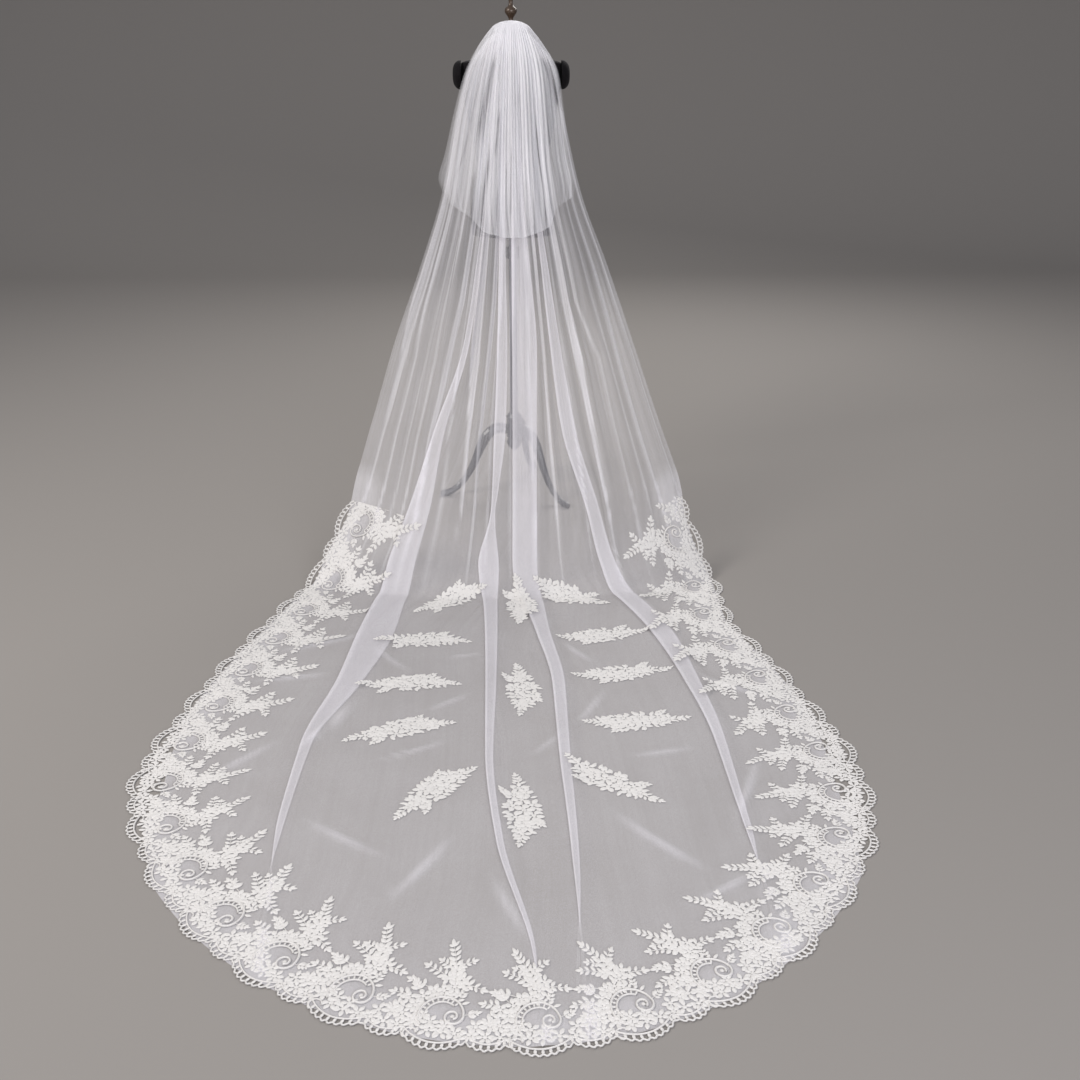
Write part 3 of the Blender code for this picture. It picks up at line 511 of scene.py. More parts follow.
# %% Tulle
def tulle_material(name, single, streak, fade_start, fade_end, colour):
    """White net; single is one layer's opacity and streak the contrast of the gathers."""
    material, tree, output = new_material(name)
    cloth_uv = shader_node(tree, "ShaderNodeUVMap", uv_map="cloth").outputs[0]
    layers = shader_node(tree, "ShaderNodeAttribute", attribute_name="layers").outputs["Fac"]
    split = shader_node(tree, "ShaderNodeSeparateXYZ", {"Vector": cloth_uv})
    wide = stretched_noise(tree, cloth_uv, (34.0, 0.9, 1.0), 3.0, 1.0, 0.15)
    fine = stretched_noise(tree, cloth_uv, (120.0, 1.6, 1.0), 2.0, 1.0, 0.1)
    both = maths(tree, "ADD", maths(tree, "MULTIPLY", wide, 0.6), maths(tree, "MULTIPLY", fine, 0.4))
    streaks = spread(tree, both, 0.36, 0.64, 1.0 - streak, 1.0 + streak)
    fade = spread(tree, split.outputs["Y"], fade_start, fade_end, 1.0, 0.12)
    streaks = maths(tree, "ADD", 1.0, maths(tree, "MULTIPLY", maths(tree, "SUBTRACT", streaks, 1.0), fade))
    clouds = spread(tree, stretched_noise(tree, cloth_uv, (5.0, 4.0, 1.0), 3.0), 0.3, 0.7, 0.85, 1.15)
    holes = shader_node(tree, "ShaderNodeTexVoronoi", {"Vector": cloth_uv}, feature="DISTANCE_TO_EDGE")
    holes.inputs["Scale"].default_value = 620.0
    net = spread(tree, holes.outputs["Distance"], 0.04, 0.22, 1.35, 0.75)
    count = maths(tree, "MULTIPLY", maths(tree, "MULTIPLY", layers, streaks),
                  maths(tree, "MULTIPLY", clouds, net))
    opacity = maths(tree, "SUBTRACT", 1.0, maths(tree, "POWER", 1.0 - single, count), clamp=True)
    thread = shader_node(tree, "ShaderNodeBsdfPrincipled", Base_Color=colour, Roughness=0.62)
    thread.inputs["Sheen Weight"].default_value = 0.35
    thread.inputs["Specular IOR Level"].default_value = 0.35
    through = shader_node(tree, "ShaderNodeBsdfTranslucent", Color=colour)
    threads = shader_node(tree, "ShaderNodeMixShader", {1: thread.outputs[0], 2: through.outputs[0]},
                          Fac=0.25)
    clear = shader_node(tree, "ShaderNodeBsdfTransparent")
    mixed = shader_node(tree, "ShaderNodeMixShader",
                        {0: opacity, 1: clear.outputs[0], 2: threads.outputs[0]})
    tree.links.new(mixed.outputs[0], output.inputs["Surface"])
    return material


long_tulle = tulle_material("long_tulle", 0.19, 0.60, 0.35, 1.5, (0.95, 0.925, 0.965, 1.0))
short_tulle = tulle_material("short_tulle", 0.19, 0.45, 2.0, 3.0, (0.975, 0.96, 0.99, 1.0))
print("tulle:", long_tulle.name, short_tulle.name)

# %% [markdown]
# Lace thread and ribbon are opaque. A fine noise in the mesh's own coordinates gives the thread
# its ridges; sheen lifts the edges a little, as satin stitch does.

# %% Lace, ribbon, metal, paint and form cover
def surface_material(name, colour, roughness, bump, bump_size, metallic=0.0, sheen=0.0, coat=0.0, vary=0.12,
                     specular=0.5):
    """Opaque surface: noise varies its colour and roughness and raises a fine relief."""
    material, tree, output = new_material(name)
    place = shader_node(tree, "ShaderNodeTexCoord").outputs["Object"]
    patch = stretched_noise(tree, place, (9.0, 9.0, 9.0), 4.0)
    grain = stretched_noise(tree, place, (bump_size, bump_size, bump_size), 3.0)
    dark = tuple(c * (1 - vary) for c in colour[:3]) + (1.0,)
    light = tuple(min(1.0, c * (1 + vary)) for c in colour[:3]) + (1.0,)
    tint = shader_node(tree, "ShaderNodeMix", data_type="RGBA")
    tree.links.new(patch, tint.inputs["Factor"])
    tint.inputs[6].default_value = dark
    tint.inputs[7].default_value = light
    relief = shader_node(tree, "ShaderNodeBump", {"Height": grain}, Strength=bump, Distance=0.001)
    rough = spread(tree, patch, 0.3, 0.7, roughness - 0.06, roughness + 0.06)
    body = shader_node(tree, "ShaderNodeBsdfPrincipled",
                       {"Base Color": tint.outputs[2], "Roughness": rough, "Normal": relief.outputs[0]},
                       Metallic=metallic)
    body.inputs["Sheen Weight"].default_value = sheen
    body.inputs["Coat Weight"].default_value = coat
    body.inputs["Specular IOR Level"].default_value = specular
    tree.links.new(body.outputs[0], output.inputs["Surface"])
    return material


lace_thread = surface_material("lace_thread", (0.70, 0.675, 0.655), 0.65, 1.0, 500.0, sheen=0.15, vary=0.06,
                               specular=0.3)
satin = surface_material("satin_ribbon", (0.90, 0.89, 0.90), 0.35, 0.15, 900.0, sheen=0.5, vary=0.04)
comb_steel = surface_material("comb_steel", (0.72, 0.72, 0.74), 0.24, 0.05, 300.0, metallic=1.0)
bronze = surface_material("bronze_paint", (0.075, 0.048, 0.032), 0.38, 0.12, 260.0, metallic=0.35,
                          coat=0.25, vary=0.3)
black = surface_material("black_paint", (0.012, 0.011, 0.012), 0.34, 0.15, 220.0, coat=0.2, vary=0.3)
plate_paint = surface_material("plate_paint", (0.014, 0.013, 0.013), 0.5, 0.1, 200.0, vary=0.3)
jersey = surface_material("form_jersey", (0.007, 0.006, 0.007), 0.9, 0.5, 900.0, sheen=0.03, vary=0.25,
                          specular=0.12)
print("surfaces:", [m.name for m in (lace_thread, satin, comb_steel, bronze, black, plate_paint, jersey)])

# %% [markdown]
# ## The long tier
# A sheet of cloth is a grid: one row of points for each step along it, one column across. The
# grid is filled from the tables, with more columns than the solid has so that soft pleats fit.

# %% Make a sheet from a grid of points
def sheet_object(name, points, layers, cloth_uv, material):
    """An open mesh over a grid, with the layers attribute and the cloth's own coordinates."""
    rows, columns = points.shape[:2]
    numbers = np.arange(rows * columns).reshape(rows, columns)
    quads = np.stack([numbers[:-1, :-1], numbers[1:, :-1], numbers[1:, 1:], numbers[:-1, 1:]], -1)
    quads = quads.reshape(-1, 4)
    mesh = bpy.data.meshes.new(name)
    mesh.from_pydata(points.reshape(-1, 3).tolist(), [], quads.tolist())
    mesh.polygons.foreach_set("use_smooth", np.ones(len(quads), bool))
    attribute = mesh.attributes.new("layers", "FLOAT", "POINT")
    attribute.data.foreach_set("value", np.ascontiguousarray(layers.reshape(-1), np.float32))
    uv_map = mesh.uv_layers.new(name="cloth")
    corner_uv = cloth_uv.reshape(-1, 2)[quads.reshape(-1)]
    uv_map.data.foreach_set("uv", np.ascontiguousarray(corner_uv.reshape(-1), np.float32))
    mesh.materials.append(material)
    sheet = bpy.data.objects.new(name, mesh)
    bpy.context.collection.objects.link(sheet)
    mesh.update()
    return sheet


def length_along(points, axis):
    """Distance from the first point, going along one axis of a grid."""
    steps = np.linalg.norm(np.diff(points, axis=axis), axis=-1)
    total = np.cumsum(steps, axis=axis)
    shape = list(total.shape)
    shape[axis] = 1
    return np.concatenate([np.zeros(shape), total], axis=axis)


print("grid helpers ready")

# %% [markdown]
# Rows are spaced evenly along the cloth, so the count of rows between two sections follows the
# distance between them. The bottom row stops inside the lace's scallops.
# The cut is measured from the finished cloth: as wide as its widest row, all the way up.

# %% Long tier mesh
ROWS = 310
LAST_ROW = 15.92
REST = 0.0012              # how high the cloth's middle rests over the floor


def flat_cut(points):
    """Width, length and area of the flat cloth: as wide as its widest row, all the way up."""
    across = points[:-1, 1:] - points[:-1, :-1]
    down = points[1:, :-1] - points[:-1, :-1]
    steps = np.linalg.norm(down, axis=-1)
    strips = np.linalg.norm(np.cross(across, down), axis=-1) / np.maximum(steps, 1e-9)
    widest = int(np.argmax(strips.sum(1)))
    above = (strips[widest] * steps[:widest].sum(0)).sum()
    below = (strips[widest:] * steps[widest:]).sum()
    return float(strips[widest].sum()), float(steps.sum(0).max()), float(above + below)


dense = np.linspace(0, LAST_ROW, 1601)
middle_line = tier_point(LONG_TIER, np.zeros_like(dense), dense)
middle_length = length_along(middle_line, 0)
row_at = np.interp(np.linspace(0, middle_length[-1], ROWS), middle_length, dense)

grid = []
layer_grid = []
flat_grid = []             # x and section number of each point, for the lace ground
for at in row_at:
    xs, lifts, edges = long_row(float(at))
    left = float(column(LONG_TIER, "left", at))
    right = float(column(LONG_TIER, "right", at))
    base = tier_point(LONG_TIER, xs, np.full_like(xs, at))
    normal = tier_normal(LONG_TIER, xs, np.full_like(xs, at))
    ridge = crease_lift(base[:, 0], base[:, 1]) * smooth_step((at - 9.6) / 0.6)
    row = base + normal * (lifts + ridge)[:, None]
    row[:, 2] = np.maximum(row[:, 2] + REST, REST)
    grid.append(row)
    gathered = 1.20 + 4.0 * (1 - smooth_step(at / 2.2)) + 0.40 * smooth_step((at - 7.5) / 2.5)
    # Extra layers at the fold turns; the crease term is a painted highlight that whitens the net along each
    # crease's crest.
    rim = 1.3 * edges + 2.2 * ridge / CREASE_LIFT
    layer_grid.append(gathered + pleat_layers(xs, left, right, at) + rim)
    flat_grid.append(np.stack([xs, np.full_like(xs, at)], -1))
long_points = np.array(grid)
long_flat = np.array(flat_grid)
long_width, long_length, long_area = flat_cut(long_points)
print("long tier cut:", round(long_width, 3), "by", round(long_length, 3), "m,", round(long_area, 3), "m2")
across = length_along(long_points, 1)
long_layers = np.array(layer_grid)
across_share = across / across[:, -1:]
long_uv = np.stack([across_share * long_width, np.broadcast_to(
    np.interp(row_at, dense, middle_length)[:, None], across.shape)], -1)
long_tier = sheet_object("long_tier_tulle", to_world(long_points), long_layers, long_uv, long_tulle)
print("long tier:", len(long_tier.data.polygons) * 2, "triangles")

# %% [markdown]
# ## The short tier
# The short tier starts at the band, rises over the gathers as a smooth dome and falls to an even
# cut below the waist. Its pleats are many and fine; they open towards the hem. Fine gathers take
# up the cloth's width near the band and fade out before the hem.

# %% Short tier mesh
SHORT_ROWS = 120
SHORT_COLUMNS = 300
GATHER_DEPTH = 0.0052       # height of the fine gathers, as a share of the row's width

short_at = np.linspace(0, 9, 1201)
short_line = length_along(tier_point(SHORT_TIER, np.zeros_like(short_at), short_at), 0)
short_row_at = np.interp(np.linspace(0, short_line[-1], SHORT_ROWS), short_line, short_at)


def short_pleats(s, at):
    """Lift of the short tier's pleats; s runs from -1 at one side edge to 1 at the other."""
    growth = smooth_step((at - 2.8) / 4.0)
    bend = s + 0.035 * np.sin(4.3 * s + 0.7) + 0.006 * np.sin(1.3 * at + 9.0 * s)
    big = np.sin(2 * math.pi * 3.4 * bend + 0.9)
    middle = np.sin(2 * math.pi * 8.3 * bend + 1.9 * np.sin(5.0 * s + 1.0))
    small = np.sin(2 * math.pi * 17.0 * bend + 2.3 * np.sin(7.0 * s))
    tiny = np.sin(2 * math.pi * 36.0 * bend + 3.1 * np.sin(11.0 * s + 0.4))
    depth = 0.0002 + 0.0046 * growth
    ends = smooth_step((1 - np.abs(s)) / 0.06)
    return depth * (0.80 * big + 0.17 * middle + 0.09 * small + 0.03 * tiny) * ends


# Where the pleats part and the dark form shows: section and share at both ends, width, depth.
Gap = namedtuple("Gap", "at_1 share_1 at_2 share_2 width depth")
GAPS = [
    Gap(4.4, -0.38, 6.8, -0.53, 0.055, 0.85), Gap(5.9, -0.21, 7.0, -0.27, 0.018, 0.60),
    Gap(6.4, -0.02, 8.6, -0.04, 0.010, 0.85), Gap(5.6, 0.42, 9.4, 0.54, 0.014, 0.90),
    Gap(6.5, -0.34, 9.4, -0.47, 0.035, 0.72), Gap(7.1, -0.52, 9.4, -0.60, 0.026, 0.70),
    Gap(6.8, -0.09, 8.8, -0.12, 0.009, 0.60), Gap(4.2, -0.28, 5.5, -0.26, 0.020, 0.45),
    Gap(4.5, 0.72, 6.1, 0.93, 0.085, 0.90), Gap(5.2, 0.14, 7.4, 0.17, 0.010, 0.45),
    Gap(7.6, 0.30, 9.4, 0.33, 0.012, 0.50), Gap(5.0, -0.62, 8.0, -0.80, 0.016, 0.45),
    Gap(6.0, 0.62, 9.4, 0.78, 0.014, 0.35), Gap(7.4, -0.20, 9.4, -0.24, 0.012, 0.55),
]


def gap_share(s, at):
    """What is left of the layers where pleats part."""
    kept = np.ones_like(s)
    for gap in GAPS:
        along = (at - gap.at_1) / (gap.at_2 - gap.at_1)
        middle = gap.share_1 + (gap.share_2 - gap.share_1) * along
        fade = smooth_step(min(along, 1 - along) / 0.25) if 0 < along < 1 else 0.0
        kept *= 1 - gap.depth * fade * np.exp(-((s - middle) / gap.width) ** 2)
    return kept


def hem_trim(s):
    """How many sections short of the hem the cut edge is: the right part hangs higher."""
    return 0.50 * smooth_step((s - 0.58) / 0.10) * (1 - 0.5 * smooth_step((s - 0.75) / 0.25)) \
        + 0.30 * smooth_step((-s - 0.42) / 0.2) * (1 - smooth_step((-s - 0.80) / 0.2))


def fine_gathers(s, at):
    """Lift of the fine gathers that take up the cloth's width above the hem, from -1 to 1."""
    bend = s + 0.035 * np.sin(4.3 * s + 0.7)
    wave = np.sin(2 * math.pi * 17.0 * bend + 1.6 * np.sin(6.0 * s + 0.3))
    fade = smooth_step(at / 1.5) * (1 - smooth_step((at - 5.5) / 3.3))
    return wave * fade * smooth_step((1 - np.abs(s)) / 0.05)


s = np.linspace(-1, 1, SHORT_COLUMNS)
short_grid = []
plain_grid = []            # the same rows before the fine gathers, for the material
short_layer_grid = []
for at in short_row_at:
    cut = at - hem_trim(s) * (at / 9) ** 6
    left = column(SHORT_TIER, "left", cut)
    right = column(SHORT_TIER, "right", cut)
    xs = np.where(s < 0, s * left, s * right)
    base = tier_point(SHORT_TIER, xs, cut)
    normal = tier_normal(SHORT_TIER, xs, cut)
    lifts = short_pleats(s, at)
    plain_grid.append(base + normal * lifts[:, None])
    gathers = GATHER_DEPTH * (left + right)[:, None] * fine_gathers(s, at)[:, None]
    short_grid.append(plain_grid[-1] + normal * gathers)
    slope = np.clip(np.abs(np.gradient(lifts, xs)), 0, 3)
    short_layer_grid.append((0.85 + 1.2 * (np.sqrt(1 + slope**2) - 1)) * gap_share(s, at))
short_points = np.array(short_grid)
short_across = length_along(np.array(plain_grid), 1)
middle_full = 1.0 - 0.50 * smooth_step((np.abs(s) - 0.30) / 0.45)
short_fullness = np.clip(1.9 / short_across[:, -1:], 4.4, 18.0)
hem_open = 1.0 - 0.50 * smooth_step((short_row_at - 6.8) / 2.2)
short_layers = np.array(short_layer_grid) * short_fullness * middle_full[None, :] * hem_open[:, None]
edge_thin = 0.45 + 0.55 * smooth_step((1 - np.abs(s)) / 0.10)
short_layers *= edge_thin[None, :]
short_v = length_along(short_points, 0)
short_uv = np.stack([short_across / short_across[:, -1:] * 1.5, short_v], -1)
short_tier = sheet_object("short_tier_tulle", to_world(short_points), short_layers, short_uv, short_tulle)
print("short tier:", len(short_tier.data.polygons) * 2, "triangles")

# %% [markdown]
# ## Lace
# Lace is drawn flat first, as a pattern on paper would be: leaves and petals are points with a
# turn, a length and a width, and cords are lines. A Geometry Nodes tree puts a small domed leaf
# on every point and a thread round every line. The flat result is then laid on the cloth.

# %% One drawing of leaves, beads and cords
class Drawing:
    """Flat lace pattern: every point is (along, inward, kind, turn, length, width)."""

    def __init__(self, seed):
        self.points = []
        self.lines = []
        self.chance = np.random.default_rng(seed)

    def leaf(self, u, w, turn, length, width):
        """A leaf that starts at (u, w) and points along turn, in degrees."""
        self.points.append((u, w, 1, math.radians(turn), length, width))

    def bead(self, u, w, size):
        """A raised knot."""
        self.points.append((u, w, 2, 0.0, size, size))

    def cord(self, places, thick=1.0):
        """A thread along a row of places, so many times as thick as plain thread."""
        first = len(self.points)
        self.points += [(u, w, 0, 0.0, 1.0, thick) for u, w in places]
        self.lines += [(first + i, first + i + 1) for i in range(len(places) - 1)]

    def flower(self, u, w, petals, length, width, turn=0.0):
        """Round flower of petals about a knot."""
        for k in range(petals):
            angle = turn + 360 * k / petals
            out = 0.18 * length
            a = math.radians(angle)
            self.leaf(u + out * math.cos(a), w + out * math.sin(a), angle, length, width)
        self.bead(u, w, 0.22 * length + 0.0012)

    def spray_of_leaves(self, u, w, turn, length, bend, leaf, spacing=0.0122, opening=46):
        """A curved stem with leaf pairs that get smaller to its tip."""
        steps = max(3, int(length / spacing))
        places = [(u, w)]
        for k in range(steps):
            share = (k + 1) / steps
            angle = turn + bend * share
            a = math.radians(angle)
            u += length / steps * math.cos(a)
            w += length / steps * math.sin(a)
            places.append((u, w))
            for side in (-1, 1):
                size = leaf * (1.12 - 0.42 * share) * self.chance.uniform(0.86, 1.12)
                self.leaf(u, w, angle + side * (opening + self.chance.uniform(-9, 9)), size, 0.50 * size)
        self.leaf(u, w, turn + bend, leaf, 0.46 * leaf)
        self.cord(places)


print("drawing ready")

# %% [markdown]
# Instances repeat one small mesh at little cost. Realize Instances turns them into a real mesh
# at the end, so the lace can be bent to the cloth.

# %% The leaf, the bead and the node tree
THREAD = 0.00085           # a cord's radius


def small_mesh(name, verts, faces):
    """A small template mesh that the node tree repeats."""
    mesh = bpy.data.meshes.new(name)
    mesh.from_pydata(verts, [], faces)
    mesh.update()
    return bpy.data.objects.new(name, mesh)


leaf_outline = [(0.0, 0.0), (0.26, -0.42), (0.56, -0.50), (0.84, -0.30), (1.0, 0.0), (0.84, 0.30),
                (0.56, 0.50),
                (0.26, 0.42)]
leaf_verts = [(a, b, 0.0) for a, b in leaf_outline] + [(0.28, 0.0, 0.9), (0.70, 0.0, 0.8)]
leaf_faces = [(0, 1, 8), (1, 2, 8), (2, 9, 8), (2, 3, 9), (3, 4, 9), (4, 5, 9), (5, 6, 9), (6, 8, 9),
              (6, 7, 8),
              (7, 0, 8)]
leaf_template = small_mesh("leaf", leaf_verts, leaf_faces)
bead_ring = [(math.cos(math.radians(60 * k)), math.sin(math.radians(60 * k)), 0.0) for k in range(6)]
bead_verts = bead_ring + [(0.0, 0.0, 0.8)]
bead_template = small_mesh("bead", bead_verts, [(k, (k + 1) % 6, 6) for k in range(6)])


def lace_tree():
    """Leaves and beads on points, threads round lines, all realized with one material."""
    tree = bpy.data.node_groups.new("lace_from_drawing", "GeometryNodeTree")
    tree.is_modifier = True
    face = tree.interface
    face.new_socket("Geometry", in_out="OUTPUT", socket_type="NodeSocketGeometry")
    face.new_socket("Drawing", in_out="INPUT", socket_type="NodeSocketGeometry")
    face.new_socket("Leaf", in_out="INPUT", socket_type="NodeSocketObject")
    face.new_socket("Bead", in_out="INPUT", socket_type="NodeSocketObject")
    face.new_socket("Thread radius", in_out="INPUT", socket_type="NodeSocketFloat")
    face.new_socket("Relief", in_out="INPUT", socket_type="NodeSocketFloat")
    face.new_socket("Material", in_out="INPUT", socket_type="NodeSocketMaterial")
    inside = tree.nodes.new("NodeGroupInput")
    outside = tree.nodes.new("NodeGroupOutput")
    link = tree.links.new

    def attribute(name, kind="FLOAT"):
        node = tree.nodes.new("GeometryNodeInputNamedAttribute")
        node.data_type = kind
        node.inputs["Name"].default_value = name
        return node.outputs["Attribute"]

    def is_kind(number):
        node = tree.nodes.new("FunctionNodeCompare")
        node.data_type = "INT"
        node.operation = "EQUAL"
        link(attribute("kind", "INT"), node.inputs[2])
        node.inputs[3].default_value = number
        return node.outputs[0]

    joined = tree.nodes.new("GeometryNodeJoinGeometry")
    for number, socket in ((1, "Leaf"), (2, "Bead")):
        template = tree.nodes.new("GeometryNodeObjectInfo")
        link(inside.outputs[socket], template.inputs["Object"])
        on_points = tree.nodes.new("GeometryNodeInstanceOnPoints")
        turn = tree.nodes.new("ShaderNodeCombineXYZ")
        link(attribute("turn"), turn.inputs["Z"])
        size = tree.nodes.new("ShaderNodeCombineXYZ")
        link(attribute("length"), size.inputs["X"])
        link(attribute("width"), size.inputs["Y"])
        link(inside.outputs["Relief"], size.inputs["Z"])
        link(inside.outputs["Drawing"], on_points.inputs["Points"])
        link(is_kind(number), on_points.inputs["Selection"])
        link(template.outputs["Geometry"], on_points.inputs["Instance"])
        link(turn.outputs[0], on_points.inputs["Rotation"])
        link(size.outputs[0], on_points.inputs["Scale"])
        link(on_points.outputs[0], joined.inputs[0])

    to_curve = tree.nodes.new("GeometryNodeMeshToCurve")
    circle = tree.nodes.new("GeometryNodeCurvePrimitiveCircle")
    circle.inputs["Resolution"].default_value = 4
    to_mesh = tree.nodes.new("GeometryNodeCurveToMesh")
    link(inside.outputs["Drawing"], to_curve.inputs["Mesh"])
    link(is_kind(0), to_curve.inputs["Selection"])
    link(inside.outputs["Thread radius"], circle.inputs["Radius"])
    link(to_curve.outputs[0], to_mesh.inputs["Curve"])
    link(circle.outputs[0], to_mesh.inputs["Profile Curve"])
    link(attribute("width"), to_mesh.inputs["Scale"])
    link(to_mesh.outputs[0], joined.inputs[0])

    realize = tree.nodes.new("GeometryNodeRealizeInstances")
    smooth = tree.nodes.new("GeometryNodeSetShadeSmooth")
    finish = tree.nodes.new("GeometryNodeSetMaterial")
    link(joined.outputs[0], realize.inputs[0])
    link(realize.outputs[0], smooth.inputs[0])
    link(smooth.outputs[0], finish.inputs["Geometry"])
    link(inside.outputs["Material"], finish.inputs["Material"])
    link(finish.outputs[0], outside.inputs[0])
    return tree


lace_nodes = lace_tree()


def lace_mesh(name, drawing, material, relief=0.0022):
    """The drawing turned into a flat mesh of leaves, beads and threads."""
    source = bpy.data.meshes.new(name + "_drawing")
    table = np.array(drawing.points)
    source.from_pydata([(u, w, 0.0) for u, w in table[:, :2]], drawing.lines, [])
    for key, column_number, kind in (("kind", 2, "INT"), ("turn", 3, "FLOAT"), ("length", 4, "FLOAT"),
                                     ("width", 5, "FLOAT")):
        attribute = source.attributes.new(key, kind, "POINT")
        values = table[:, column_number]
        attribute.data.foreach_set("value", values.astype(np.int32 if kind == "INT" else np.float32))
    holder = bpy.data.objects.new(name + "_drawing", source)
    bpy.context.collection.objects.link(holder)
    modifier = holder.modifiers.new("lace", "NODES")
    modifier.node_group = lace_nodes
    given = {"Leaf": leaf_template, "Bead": bead_template, "Thread radius": THREAD, "Relief": relief,
             "Material": material}
    for item in lace_nodes.interface.items_tree:
        if item.item_type == "SOCKET" and item.in_out == "INPUT" and item.name in given:
            modifier[item.identifier] = given[item.name]
    graph = bpy.context.evaluated_depsgraph_get()
    mesh = bpy.data.meshes.new_from_object(holder.evaluated_get(graph), depsgraph=graph)
    mesh.name = name
    bpy.data.objects.remove(holder)
    return mesh


print("lace tree:", len(lace_nodes.nodes), "nodes")

# %% [markdown]
# To lay flat lace on the cloth, the cloth is thought of as unrolled on the floor: V is the reach
# of a point on the train, and above the floor it goes on along the cloth's length. A small
# lookup finds the section number for a given x and V.

# %% Laying flat lace on the cloth
LACE_ABOVE = 0.0009        # lace base over the tulle
LOOK_X = np.linspace(-0.86, 0.76, 163)
LOOK_T = np.linspace(5.0, 16.0, 441)
look_points = tier_point(LONG_TIER, LOOK_X[None, :], LOOK_T[:, None])
look_steps = np.linalg.norm(np.diff(look_points, axis=0), axis=-1)
back = np.concatenate([np.cumsum(look_steps[::-1], axis=0)[::-1], np.zeros((1, len(LOOK_X)))])
LOOK_V = look_points[-1, :, 1][None, :] - back


def section_at(x, v):
    """Section number of the unrolled place (x, v)."""
    across_f = np.clip((x - LOOK_X[0]) / (LOOK_X[1] - LOOK_X[0]), 0, len(LOOK_X) - 1.001)
    low = across_f.astype(int)
    f = across_f - low
    start, end = np.zeros(len(x), int), np.full(len(x), len(LOOK_T) - 1)
    for _ in range(10):
        mid = (start + end) // 2
        value = LOOK_V[mid, low] * (1 - f) + LOOK_V[mid, low + 1] * f
        end = np.where(value > v, mid, end)
        start = np.where(value > v, start, mid)
    at_start = LOOK_V[start, low] * (1 - f) + LOOK_V[start, low + 1] * f
    at_end = LOOK_V[end, low] * (1 - f) + LOOK_V[end, low + 1] * f
    part = np.where(end > start, (v - at_start) / np.maximum(at_end - at_start, 1e-9), 0.0)
    return np.clip(LOOK_T[start] + np.clip(part, 0, 1) * (LOOK_T[1] - LOOK_T[0]), 5.0, 16.0)


def top_of_cloth(x, at):
    """Height of the cloth's uppermost layer over its base, with folds and creases."""
    total = np.zeros_like(x)
    gap = column(LONG_TIER, "layer", at)
    for number in range(1, 5):
        left = eased([getattr(f, f"left_{number}") for f in FOLDS], at)
        wide = eased([getattr(f, f"wide_{number}") for f in FOLDS], at)
        right = left + wide
        folded = smooth_step(wide / FULLY_FOLDED)
        rise = smooth_step((x - left + 0.012) / 0.010)
        settle = 1 - smooth_step((x - right) / 0.035)
        total = np.maximum(total, 2 * gap * folded * rise * settle)
    reach = tier_point(LONG_TIER, x, at)[:, 1]
    return total + crease_lift(x, reach) * smooth_step((at - 9.6) / 0.6)


def lay_on_cloth(mesh, to_cloth, name):
    """Moves a flat lace mesh on to the long tier; to_cloth gives x and V of (u, w)."""
    count = len(mesh.vertices)
    flat = np.empty(count * 3, np.float32)
    mesh.vertices.foreach_get("co", flat)
    flat = flat.reshape(-1, 3).astype(float)
    x, v = to_cloth(flat[:, 0], flat[:, 1])
    at = section_at(x, v)
    base = tier_point(LONG_TIER, x, at)
    on_floor = at > 9.99
    base[:, 1] = np.where(on_floor, v, base[:, 1])
    base[:, 2] = np.where(on_floor, 0.0, base[:, 2])
    normal = tier_normal(LONG_TIER, x, np.minimum(at, 15.9))
    height = REST + LACE_ABOVE + top_of_cloth(x, at) + np.maximum(flat[:, 2], -0.0004)
    placed = to_world(base + normal * height[:, None])
    mesh.vertices.foreach_set("co", np.ascontiguousarray(placed.reshape(-1), np.float32))
    mesh.update()
    piece = bpy.data.objects.new(name, mesh)
    bpy.context.collection.objects.link(piece)
    return piece


print("lookup covers V from", LOOK_V.min().round(3), "to", LOOK_V.max().round(3))

# %% [markdown]
# The border's line goes down the left edge from a little above the floor, round the hem and up
# the right edge. It is smoothed at the corners, and lace is measured along it.

# %% The border's line
BORDER_STEP = 0.004
edge_at = np.linspace(8.0, 16.0, 400)


def unrolled(x, at):
    """(x, V) of places given by x and section number."""
    lookup = np.array([np.interp(a, LOOK_T,
                                 LOOK_V[:, int(round((b - LOOK_X[0]) / (LOOK_X[1] - LOOK_X[0])))])
                       for b, a in zip(x, at)])
    return np.stack([x, lookup], -1)


left_edge = unrolled(-column(LONG_TIER, "left", edge_at), edge_at)
right_edge = unrolled(column(LONG_TIER, "right", edge_at), edge_at)
hem_x = np.linspace(-LONG_TIER[-1].left, LONG_TIER[-1].right, 400)
hem_points = tier_point(LONG_TIER, hem_x, np.full_like(hem_x, 16.0))[:, :2]
outline = np.concatenate([left_edge[:-1], hem_points, right_edge[::-1][1:]])
walked = np.concatenate([[0], np.cumsum(np.linalg.norm(np.diff(outline, axis=0), axis=1))])
even = np.arange(0, walked[-1], BORDER_STEP)
border = np.stack([np.interp(even, walked, outline[:, k]) for k in (0, 1)], -1)
SMOOTH_REACH = 28          # steps each side that the line is averaged over
padded_line = np.concatenate([2 * border[0] - border[SMOOTH_REACH:0:-1], border,
                              2 * border[-1] - border[-2:-SMOOTH_REACH - 2:-1]])
window = np.hanning(2 * SMOOTH_REACH + 3)[1:-1]
window /= window.sum()
border = np.stack([np.convolve(padded_line[:, k], window, "valid") for k in (0, 1)], -1)
tangent = np.gradient(border, axis=0)
tangent /= np.linalg.norm(tangent, axis=1, keepdims=True)
inward = np.stack([tangent[:, 1], -tangent[:, 0]], -1)
centre = np.array([-0.05, 1.4])
if np.sum(inward[len(inward) // 2] * (centre - border[len(border) // 2])) < 0:
    inward = -inward
turned_by = np.stack([np.convolve(np.pad(inward[:, k], 40, "edge"), np.ones(81) / 81,
                                  "valid") for k in (0, 1)], -1)
inward = turned_by / np.linalg.norm(turned_by, axis=1, keepdims=True)
border_u = np.concatenate([[0], np.cumsum(np.linalg.norm(np.diff(border, axis=0), axis=1))])
print("border length", round(border_u[-1], 3))


